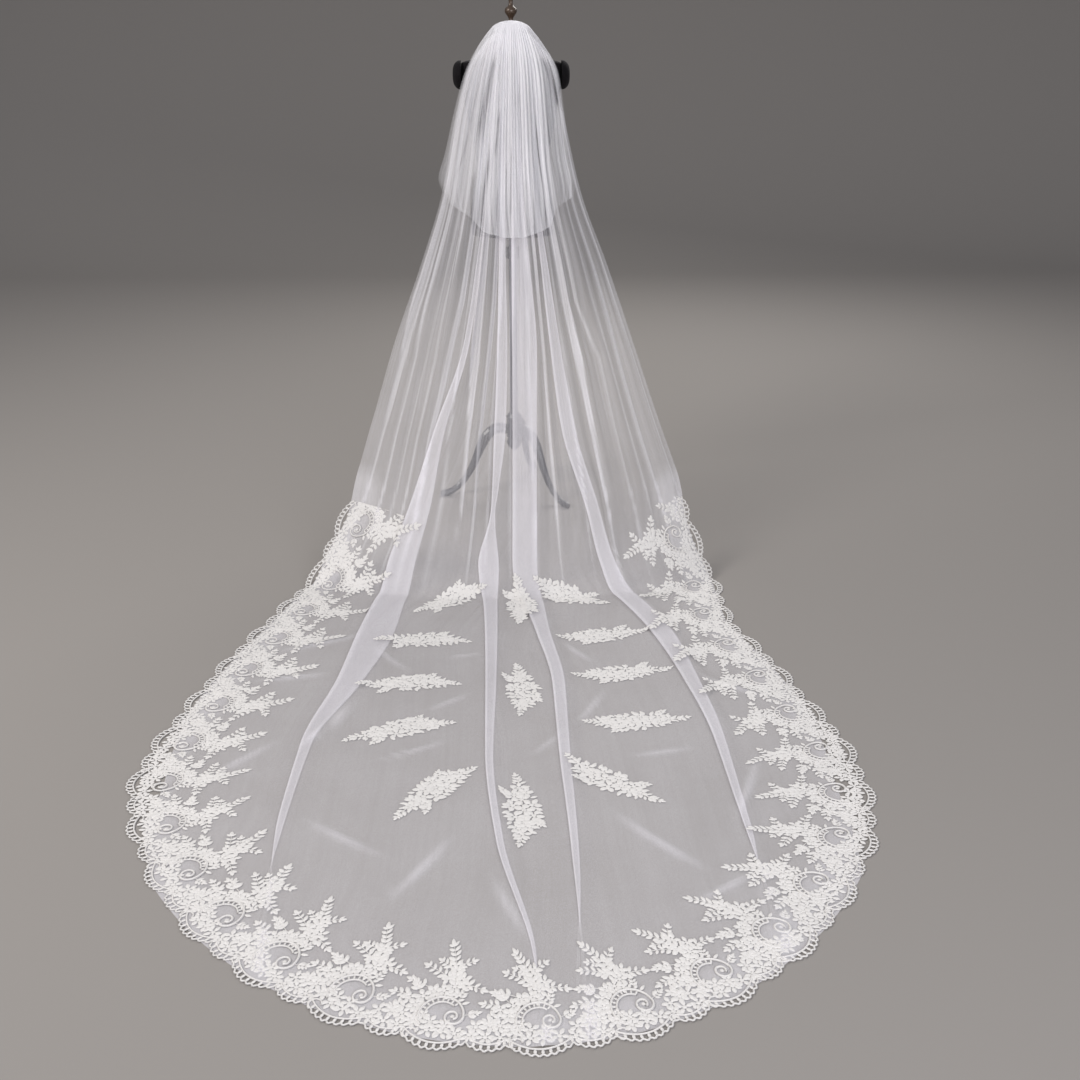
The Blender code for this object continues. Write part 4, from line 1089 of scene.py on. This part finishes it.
def border_to_cloth(u, w):
    """(x, V) of a place u along the border and w in from its edge."""
    u = np.clip(u, 0, border_u[-1])
    w = w - 0.006
    x = np.interp(u, border_u, border[:, 0]) + w * np.interp(u, border_u, inward[:, 0])
    v = np.interp(u, border_u, border[:, 1]) + w * np.interp(u, border_u, inward[:, 1])
    return x, v


# %% [markdown]
# One repeat of the border is a big scallop and a small one. Over the big one stands an open
# double-corded scroll that ends in a snail; flowers climb up its left side into a three-armed
# sprig, and the net to its right stays clear. Flowers fill the foot of the whole border.

# %% The border's pattern
REPEATS = round(border_u[-1] / 0.176)
PITCH = border_u[-1] / REPEATS
BIG = 0.615                # the big scallop's share of a repeat
PICOT = 0.0122
EDGE_CORD = 2.5            # cord thickness, in plain threads
SCROLL_CORD = 3.4
SCROLL_W = 0.076           # how far in the scroll's middle is
SCROLL_OUT = 0.0400
SCROLL_IN = 0.0290
SNAIL = 0.0190


# Arms of a sprig: where on the stem it starts, turn, length, bend and leaf length.
SPRIG_ARMS = [
    (0.0, 104, 0.100, 26, 0.0225), (0.10, 150, 0.070, 20, 0.0190), (0.05, 22, 0.056, -34, 0.0190),
    (0.40, 62, 0.040, -30, 0.0180), (0.42, 160, 0.034, 10, 0.0170),
]


def scallop(u):
    """How far in the edge is at u: two unequal scallops in each repeat."""
    share = (np.asarray(u, float) / PITCH) % 1.0
    in_big = share < BIG
    phase = np.where(in_big, share / BIG, (share - BIG) / (1 - BIG))
    bulge = np.where(in_big, 0.022, 0.014)
    return 0.024 - bulge * np.sin(math.pi * phase) ** 0.8


def arc(u, w, radius, start, end, count):
    """Places along an arc, angles in degrees."""
    turns = [math.radians(start + (end - start) * k / (count - 1)) for k in range(count)]
    return [(u + radius * math.cos(a), w + radius * math.sin(a)) for a in turns]


def draw_scroll(drawing, u, w):
    """Two cords over the top with bars between them; the outer one ends in a snail."""
    outer = arc(u, w, SCROLL_OUT, 226, 4, 22)
    for k in range(22):
        a = math.radians(-430 * k / 21)
        radius = SNAIL * (1 - 0.70 * (k / 21) ** 0.9)
        outer.append((u + SCROLL_OUT - SNAIL + radius * math.cos(a), w + radius * math.sin(a)))
    drawing.cord(outer, SCROLL_CORD)
    drawing.cord(arc(u, w, SCROLL_IN, 218, 52, 18), SCROLL_CORD * 0.8)
    for k in range(11):
        angle = 212 - 16 * k
        a = math.radians(angle)
        drawing.leaf(u + SCROLL_IN * math.cos(a), w + SCROLL_IN * math.sin(a), angle,
                     SCROLL_OUT - SCROLL_IN, 0.0042)
    drawing.bead(u + SCROLL_OUT - SNAIL, w, 0.0042)


def draw_sprig(drawing, u, w, lean, chance):
    """Flowers at the foot and the arms of overlapping leaves listed in SPRIG_ARMS."""
    up = math.radians(112 + lean)
    for share, turn, length, bend, leaf in SPRIG_ARMS:
        along = share * 0.100
        drawing.spray_of_leaves(u + along * math.cos(up), w + along * math.sin(up),
                                turn + lean + chance.uniform(-6, 6), length, bend, leaf)
    for du, dw, petals, petal in ((0.0, 0.0, 6, 0.0165), (0.014, 0.019, 5, 0.0155),
                                  (-0.018, 0.017, 5, 0.0155),
                                  (-0.006, 0.040, 5, 0.0150)):
        drawing.flower(u + du, w + dw, petals, petal, 0.62 * petal, chance.uniform(0, 70))


def draw_foot(drawing, start, middle, chance):
    """Overlapping flowers and leaves between the edge cords and the scroll."""
    for k in range(7):
        u = start + (k + 0.5) * PITCH / 7 + chance.uniform(-0.002, 0.002)
        w = 0.041 + chance.uniform(-0.002, 0.002) + (0.012 if k == 0 else 0.0)
        drawing.flower(u, w, int(chance.integers(5, 7)), 0.0150, 0.0086, chance.uniform(0, 70))
        drawing.leaf(u + 0.0125, 0.030, chance.uniform(60, 120), 0.0150, 0.0070)
    for du, w, petal in ((-0.068, 0.066, 0.0150), (-0.046, 0.058, 0.0145), (-0.014, 0.058, 0.0150),
                         (0.012, 0.054, 0.0140), (0.066, 0.060, 0.0150), (-0.030, 0.070, 0.0110)):
        drawing.flower(middle + du, w, int(chance.integers(5, 7)), petal, 0.60 * petal,
                       chance.uniform(0, 70))


def draw_repeat(drawing, start, seed):
    """One repeat of the border from start."""
    chance = np.random.default_rng(seed)
    middle = start + 0.5 * BIG * PITCH
    small = start + (BIG + 0.5 * (1 - BIG)) * PITCH
    draw_foot(drawing, start, middle, chance)
    draw_scroll(drawing, middle, SCROLL_W)
    for k in range(13):
        angle = 212 - 14 * k
        a = math.radians(angle)
        drawing.leaf(middle + 1.04 * SCROLL_OUT * math.cos(a), SCROLL_W + 1.04 * SCROLL_OUT * math.sin(a),
                     angle - 24 + chance.uniform(-10, 10), 0.0130 + 0.0040 * (k % 3 == 0), 0.0068)
    drawing.spray_of_leaves(middle + 0.022, SCROLL_W + 0.036, 66, 0.024, 10, 0.0140)
    drawing.spray_of_leaves(middle + 0.041, SCROLL_W + 0.006, 12, 0.020, 10, 0.0140)
    for du, w, petals, petal in ((-0.052, 0.088, 6, 0.0160), (-0.046, 0.110, 5, 0.0150),
                                 (-0.030, 0.124, 6, 0.0160),
                                 (-0.070, 0.100, 5, 0.0135), (-0.012, 0.130, 5, 0.0145),
                                 (0.004, 0.122, 5, 0.0120)):
        drawing.flower(middle + du, w, petals, petal, 0.68 * petal, chance.uniform(0, 70))
    for du, w, turn, length in ((-0.058, 0.082, 180, 0.034), (-0.062, 0.106, 172, 0.036),
                                (-0.040, 0.130, 164, 0.042),
                                (-0.054, 0.116, 130, 0.026)):
        drawing.spray_of_leaves(middle + du, w, turn + chance.uniform(-8, 8), length, 12, 0.0175)
    draw_sprig(drawing, middle + 0.006, 0.142, chance.uniform(-5, 5), chance)
    drawing.flower(small + 0.002, 0.066, 6, 0.0150, 0.0100, chance.uniform(0, 60))
    drawing.spray_of_leaves(small - 0.004, 0.064, 58, 0.034, 16, 0.0165)


def draw_border():
    """The whole border: edge cords, loops between them and the repeats."""
    drawing = Drawing(7)
    edge_u = np.arange(0, border_u[-1], PICOT / 5)
    wave = 0.0042 * np.abs(np.cos(math.pi * edge_u / PICOT)) ** 1.5
    drawing.cord(list(zip(edge_u, scallop(edge_u) + wave)), EDGE_CORD)
    inner_u = np.arange(0, border_u[-1], 0.0050)
    drawing.cord(list(zip(inner_u, scallop(inner_u) + 0.0150)), EDGE_CORD)
    for u in np.arange(PICOT, border_u[-1], PICOT):
        drawing.leaf(u, float(scallop(u)) + 0.0030, 90, 0.0125, 0.0056)
    for start in np.arange(0, border_u[-1] - 0.05, PITCH):
        hook_w = float(scallop(start + 0.014)) + 0.0150
        drawing.cord(arc(start + 0.015, hook_w, 0.0110, 10, 265, 14), EDGE_CORD)
    for number in range(REPEATS):
        draw_repeat(drawing, number * PITCH, 100 + number)
    return drawing


border_mesh = lace_mesh("lace_border_thread", draw_border(), lace_thread)
lace_border = lay_on_cloth(border_mesh, border_to_cloth, "lace_border_thread")
lace_border.data.calc_loop_triangles()
print("border:", REPEATS, "repeats of", round(PITCH, 4), "m;", len(lace_border.data.loop_triangles),
      "triangles")

# %% [markdown]
# The lace is worked on a net of its own, so the ground under it is denser than plain tulle. The
# mesh's layers are raised where a point is within reach of the border's line.

# %% Denser ground under the lace
GROUND_LAYERS = 1.5
GROUND_FULL = 0.060        # full density up to here from the edge, none beyond GROUND_END
GROUND_END = 0.115

flat_x = long_flat[..., 0].ravel()
flat_at = long_flat[..., 1].ravel()
near = np.nonzero(flat_at > 7.5)[0]
look_row = (flat_at[near] - LOOK_T[0]) / (LOOK_T[1] - LOOK_T[0])
look_column = np.clip((flat_x[near] - LOOK_X[0]) / (LOOK_X[1] - LOOK_X[0]), 0, len(LOOK_X) - 1)
flat_v = LOOK_V[np.round(look_row).astype(int), np.round(look_column).astype(int)]
distance = np.full(len(near), 9.0)
for place in border[::4]:
    distance = np.minimum(distance, np.hypot(flat_x[near] - place[0], flat_v - place[1]))
added = np.zeros(len(flat_x))
added[near] = GROUND_LAYERS * (1 - smooth_step((distance - GROUND_FULL) / (GROUND_END - GROUND_FULL)))
ground = np.empty(len(flat_x), np.float32)
long_tier.data.attributes["layers"].data.foreach_get("value", ground)
ground = np.ascontiguousarray(ground + added, np.float32)
long_tier.data.attributes["layers"].data.foreach_set("value", ground)
print("points with lace ground:", int(np.sum(added > 0.1)))

# %% [markdown]
# ## Sprays
# A spray is a spindle of flowers and leaves on one bent stem. One function draws them all; the
# seed changes the petals a little, and a mirrored half faces the other side of the train.

# %% The lace sprays
Spray = namedtuple("Spray", "name x reach turn length mirror")
SPRAYS = [
    Spray("spray_01", -0.190, 0.880, 30, 0.205, 1),
    Spray("spray_02", 0.003, 0.912, -90, 0.205, 1),
    Spray("spray_03", 0.140, 0.866, -27, 0.205, -1),
    Spray("spray_04", -0.249, 1.112, -3, 0.228, 1),
    Spray("spray_05", 0.215, 1.096, 7, 0.222, -1),
    Spray("spray_06", -0.270, 1.337, -1, 0.230, 1),
    Spray("spray_07", 0.246, 1.301, 5, 0.229, -1),
    Spray("spray_08", -0.001, 1.371, -90, 0.232, 1),
    Spray("spray_09", -0.279, 1.549, 15, 0.236, 1),
    Spray("spray_10", 0.258, 1.529, 1, 0.226, -1),
    Spray("spray_11", -0.190, 1.794, 48, 0.225, 1),
    Spray("spray_12", 0.177, 1.768, -44, 0.241, -1),
    Spray("spray_13", -0.010, 1.861, -90, 0.236, 1),
]
SPRAY_HALF = 0.040


def draw_spray(length, seed):
    """Flowers that overlap along a bent stem, and leaf tips that stick out all round."""
    chance = np.random.default_rng(seed)
    drawing = Drawing(seed + 500)
    half = length / 2

    def stem(a):
        return 0.005 * math.sin(2.2 * math.pi * a / length + 0.6)

    def room(a):
        share = min(1.0, abs((a - 0.04 * length) / (0.50 * length)))
        return SPRAY_HALF * (1 - share ** 1.7)

    drawing.cord([(a, stem(a)) for a in np.linspace(-0.92 * half, 0.92 * half, 24)], 1.4)
    rows = [(-0.31, 0.0), (-0.22, 0.40), (-0.20, -0.38), (-0.12, 0.05), (-0.05, 0.50), (-0.03, -0.50),
            (0.04, 0.02),
            (0.11, 0.50), (0.13, -0.46), (0.20, 0.02), (0.27, 0.32), (0.29, -0.34), (0.36, 0.0)]
    for share, side in rows:
        a = (share + chance.uniform(-0.010, 0.010)) * length
        b = stem(a) + side * room(a)
        petal = 0.0135 + 0.0060 * room(a) / SPRAY_HALF
        drawing.flower(a, b, int(chance.integers(5, 7)), petal, 0.64 * petal, chance.uniform(0, 60))
    for side in (-1, 1):
        for a in np.arange(-0.86 * half, 0.84 * half, 0.0165):
            width = room(a)
            forward = 48 if a > -0.25 * half else 132
            turn = side * (forward + chance.uniform(-24, 24))
            leaf = float(np.clip(0.20 * width + 0.0115 + chance.uniform(-0.002, 0.004), 0.011, 0.0215))
            out = max(0.0, width - 0.60 * leaf) * chance.uniform(0.82, 1.06)
            drawing.leaf(a + chance.uniform(-0.003, 0.003), stem(a) + side * out, turn, leaf, 0.46 * leaf)
    drawing.spray_of_leaves(-0.70 * half, stem(-0.70 * half), 180, 0.27 * half, 14, 0.0165)
    drawing.spray_of_leaves(0.72 * half, stem(0.72 * half), 0, 0.27 * half, -14, 0.0165)
    drawing.spray_of_leaves(0.30 * half, 0.6 * SPRAY_HALF, 30, 0.024, 8, 0.0165)
    drawing.spray_of_leaves(-0.34 * half, -0.6 * SPRAY_HALF, 208, 0.024, 8, 0.0165)
    return drawing


spray_pieces = {}
for number, spray in enumerate(SPRAYS):
    turn = math.radians(spray.turn)

    def spray_to_cloth(a, b, spray=spray, turn=turn):
        """(x, V) of a place on this spray."""
        along, side = a * spray.mirror, b * spray.mirror
        x = spray.x + along * math.cos(turn) - side * math.sin(turn)
        return x, spray.reach - along * math.sin(turn) - side * math.cos(turn)

    mesh = lace_mesh(spray.name + "_thread", draw_spray(spray.length, 40 + number), lace_thread)
    spray_pieces[spray.name] = lay_on_cloth(mesh, spray_to_cloth, spray.name + "_thread")
sample = spray_pieces["spray_04"].data
sample.calc_loop_triangles()
print("sprays:", len(spray_pieces), "of about", len(sample.loop_triangles), "triangles")

# %% [markdown]
# ## The dress form
# The torso is a loft: oval rings at measured levels with the same smooth curve between them, so
# the shape needs only a short table. Its cover is a close-fitting black jersey.

# %% Torso and arm caps
TORSO = [
    (0.8620, 0.126, 0.092), (0.9000, 0.129, 0.096), (0.9700, 0.120, 0.090), (1.0500, 0.106, 0.080),
    (1.1400, 0.122, 0.090), (1.2200, 0.137, 0.098), (1.2900, 0.149, 0.090), (1.3230, 0.149, 0.079),
    (1.3430, 0.148, 0.067), (1.3530, 0.118, 0.058), (1.3600, 0.064, 0.0535), (1.3660, 0.052, 0.052),
    (1.4250, 0.052, 0.052),
]
TORSO_SIDES = 96
TORSO_RINGS = 100


def ring_loft(name, rings, material):
    """A closed smooth mesh through rings of points, with a fan at each end."""
    rings = np.array(rings)
    count, sides = rings.shape[:2]
    verts = to_world(rings.reshape(-1, 3)).tolist()
    faces = []
    for k in range(count - 1):
        for i in range(sides):
            j = (i + 1) % sides
            faces.append((k * sides + i, k * sides + j, (k + 1) * sides + j, (k + 1) * sides + i))
    for ring in (0, count - 1):
        middle = len(verts)
        verts.append(np.mean(verts[ring * sides:(ring + 1) * sides], axis=0).tolist())
        faces += [(ring * sides + i, ring * sides + (i + 1) % sides, middle) for i in range(sides)]
    mesh = bpy.data.meshes.new(name)
    mesh.from_pydata(verts, [], faces)
    work = bmesh.new()
    work.from_mesh(mesh)
    bmesh.ops.recalc_face_normals(work, faces=work.faces)
    for face in work.faces:
        face.smooth = len(face.verts) == 4
    work.to_mesh(mesh)
    work.free()
    mesh.materials.append(material)
    piece = bpy.data.objects.new(name, mesh)
    bpy.context.collection.objects.link(piece)
    return piece


angles = np.linspace(0, 2 * math.pi, TORSO_SIDES, endpoint=False)
torso_rings = []
for at in np.linspace(0, len(TORSO) - 1, TORSO_RINGS):
    height, half_width, half_depth = (float(eased([level[k] for level in TORSO], at)) for k in range(3))
    ring = np.stack([half_width * np.cos(angles), half_depth * np.sin(angles),
                     np.full(TORSO_SIDES, height)], -1)
    torso_rings.append(ring)
torso = ring_loft("torso_cover", torso_rings, jersey)

ARM_CAP = [(0.0, 1.0), (0.003, 0.995), (0.008, 0.97), (0.012, 0.92), (0.016, 0.84), (0.0195, 0.73),
           (0.022, 0.60),
           (0.0238, 0.42), (0.0245, 0.22)]
ARM_HEIGHT = 1.311
ARM_HALF_HEIGHT = 0.041
ARM_HALF_DEPTH = 0.046
ARM_TAPER = 0.18           # how much narrower a cap is at its lowest point
ARM_START = 0.1493         # from the middle of the form to a cap's flat side
arm_caps = {}
for side_name, side in (("left", -1), ("right", 1)):
    cap_rings = []
    for out, size in ARM_CAP:
        taper = 1.0 - ARM_TAPER * np.maximum(0.0, -np.sin(angles))
        x = np.full(TORSO_SIDES, side * (ARM_START + out))
        cap_rings.append(np.stack([x, ARM_HALF_DEPTH * size * taper * np.cos(angles),
                                   ARM_HEIGHT + ARM_HALF_HEIGHT * size * np.sin(angles)], -1))
    arm_caps[side_name] = ring_loft("arm_cap_" + side_name + "_cover", cap_rings, jersey)
print("torso:", len(torso.data.polygons), "faces")

# %% [markdown]
# The neck cap and its finial are turned pieces. A turned piece is one outline spun round the
# stand's axis; more sides than the solid has make it look round close up.

# %% Turned pieces
FINIAL = [(0.0, 1.5620), (0.0060, 1.5606), (0.0090, 1.5590), (0.0125, 1.5550), (0.0145, 1.5500),
          (0.0150, 1.5410),
          (0.0138, 1.5350), (0.0115, 1.5300), (0.0084, 1.5240), (0.0066, 1.5190), (0.0058, 1.5080),
          (0.0066, 1.5030),
          (0.0090, 1.4990), (0.0165, 1.4930), (0.0180, 1.4870), (0.0174, 1.4830), (0.0160, 1.4800),
          (0.0100, 1.4720),
          (0.0074, 1.4680), (0.0065, 1.4650), (0.0065, 1.4560), (0.0120, 1.4530), (0.0200, 1.4510),
          (0.0228, 1.4480),
          (0.0230, 1.4440), (0.0, 1.4440)]
NECK_CAP = [(0.0, 1.4437), (0.0440, 1.4437), (0.0474, 1.4424), (0.0490, 1.4400), (0.0500, 1.4370),
            (0.0500, 1.4340),
            (0.0488, 1.4290), (0.0470, 1.4253), (0.0, 1.4253)]
TURNED_SIDES = 64


def turned(name, outline, material):
    """An outline spun round the stand's axis."""
    spin = np.linspace(0, 2 * math.pi, TURNED_SIDES, endpoint=False)
    rings = [np.stack([max(r, 1e-4) * np.cos(spin), max(r, 1e-4) * np.sin(spin),
                       np.full(TURNED_SIDES, z)], -1)
             for r, z in outline]
    return ring_loft(name, rings, material)


finial = turned("finial_turned", FINIAL, bronze)
neck_cap = turned("neck_cap_turned", NECK_CAP, bronze)
print("turned pieces:", finial.name, neck_cap.name)

# %% [markdown]
# Both tiers are gathered on to a narrow satin band. Gathering stitches pinch the ribbon, so its
# face is ruched: a close run of small upright folds of uneven height.

# %% The gathered band
BAND_RADIUS = 0.0540
BAND_THICK = 0.0018
BAND_BOTTOM = 1.3930
BAND_TOP = 1.4280
BAND_HALF_ANGLE = math.radians(52)
BAND_COLUMNS = 260
BAND_ROWS = 14
band_angle = np.linspace(-BAND_HALF_ANGLE, BAND_HALF_ANGLE, BAND_COLUMNS)
outer, inner_face = [], []
for row in range(BAND_ROWS):
    part = row / (BAND_ROWS - 1)
    height = BAND_TOP + (BAND_BOTTOM - BAND_TOP) * part
    ruche = 0.00045 * np.sin(95 * band_angle
                             + 1.5 * np.sin(9 * band_angle)) + 0.0002 * np.sin(211 * band_angle)
    radius = BAND_RADIUS + BAND_THICK - 0.0005 + ruche * math.sin(math.pi * (0.15 + 0.7 * part))
    outer.append(np.stack([radius * np.sin(band_angle), radius * np.cos(band_angle),
                           np.full(BAND_COLUMNS, height)], -1))
    inner_face.append(np.stack([BAND_RADIUS * np.sin(band_angle), BAND_RADIUS * np.cos(band_angle),
                                np.full(BAND_COLUMNS, height)], -1))
band_rings = np.concatenate([np.array(outer), np.array(inner_face)[::-1]])
band = ring_loft("gather_band_ribbon", band_rings.transpose(1, 0, 2), satin)
print("band:", len(band.data.polygons), "faces")

# %% [markdown]
# ## Finishes on the stand
# The pole, hub, collar, legs, base plate and comb keep their solids' meshes. Only their material
# slots are filled.

# %% Finishes
STAND_FINISH = {"pole": black, "height_collar": black, "hub": black, "leg_1": black, "leg_2": black,
                "leg_3": black, "base_plate": plate_paint, "comb": comb_steel}
for node_name, material in STAND_FINISH.items():
    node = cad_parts[node_name]
    for slot in node.material_slots:
        slot.material = material
print("finished:", list(STAND_FINISH))

# %% [markdown]
# ## Floor, backdrop and light
# The floor sweeps up into the backdrop in one bend. It is a mid-tone, because white net would
# vanish on a white floor. Large lamps give soft shadows.

# %% Studio
SWEEP_START = 5.0
SWEEP_RADIUS = 2.5
SWEEP_TOP = 7.0
HALF_ROOM = 14.0
profile = [(-16.0, 0.0), (SWEEP_START, 0.0)]
for k in range(1, 25):
    bend = math.radians(90 * k / 24)
    profile.append((SWEEP_START + SWEEP_RADIUS * math.sin(bend), SWEEP_RADIUS * (1 - math.cos(bend))))
profile.append((SWEEP_START + SWEEP_RADIUS, SWEEP_TOP))
room_verts = [(x, y, z) for y, z in profile for x in (-HALF_ROOM, HALF_ROOM)]
room_faces = [(2 * k, 2 * k + 1, 2 * k + 3, 2 * k + 2) for k in range(len(profile) - 1)]
room_mesh = bpy.data.meshes.new("studio_floor")
room_mesh.from_pydata(room_verts, [], room_faces)
room_mesh.polygons.foreach_set("use_smooth", np.ones(len(room_faces), bool))
paper, paper_tree, paper_output = new_material("studio_paper")
paper_shader = shader_node(paper_tree, "ShaderNodeBsdfDiffuse", Color=(0.285, 0.266, 0.25, 1.0))
paper_tree.links.new(paper_shader.outputs[0], paper_output.inputs["Surface"])
room_mesh.materials.append(paper)
room = bpy.data.objects.new("studio_floor", room_mesh)
bpy.context.collection.objects.link(room)


def area_lamp(name, location, target, size, power, colour):
    """A square soft lamp that faces a target."""
    data = bpy.data.lights.new(name, "AREA")
    data.shape = "SQUARE"
    data.size = size
    data.energy = power
    data.color = colour
    lamp = bpy.data.objects.new(name, data)
    lamp.location = location
    aim = Vector(target) - Vector(location)
    lamp.rotation_euler = aim.to_track_quat("-Z", "Y").to_euler()
    bpy.context.collection.objects.link(lamp)
    return lamp


lamps = [
    area_lamp("key_lamp", (-3.2, -1.2, 3.4), (0.0, 0.0, 0.3), 1.8, 120.0, (1.0, 0.97, 0.93)),
    area_lamp("fill_lamp", (1.6, -4.6, 2.0), (0.0, 0.6, 1.0), 2.4, 145.0, (0.95, 0.96, 1.0)),
    area_lamp("back_lamp", (1.0, 3.6, 3.2), (0.0, 0.6, 0.9), 2.0, 80.0, (1.0, 0.99, 0.97)),
]
world = bpy.data.worlds.new("soft_sky")
world.use_nodes = True
world.node_tree.nodes["Background"].inputs["Color"].default_value = (0.92, 0.94, 1.0, 1.0)
world.node_tree.nodes["Background"].inputs["Strength"].default_value = 0.45
bpy.context.scene.world = world
bpy.context.scene.cycles.transparent_max_bounces = 64
bpy.context.scene.view_settings.view_transform = "Standard"
print("lamps:", [lamp.name for lamp in lamps])

# %% [markdown]
# ## Joining everything to the frame
# Every piece rides on the one body, and the solid it stands for is hidden.

# %% Pieces and sheets
STANDS_FOR = [
    (long_tier, "tulle", "long_tier"), (short_tier, "tulle", "short_tier"),
    (lace_border, "lace", "lace_border"),
    (band, "ribbon", "gather_band"), (torso, "form_cloth", "torso"),
    (arm_caps["left"], "form_cloth", "arm_cap_left"), (arm_caps["right"], "form_cloth", "arm_cap_right"),
    (finial, "bronze_paint", "neck_finial"), (neck_cap, "bronze_paint", "neck_cap"),
]
STANDS_FOR += [(piece, "lace", name) for name, piece in spray_pieces.items()]
for piece, slot_name, node_name in STANDS_FOR:
    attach(piece, "root")
    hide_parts(node_name)

print("pieces:", len(STANDS_FOR))
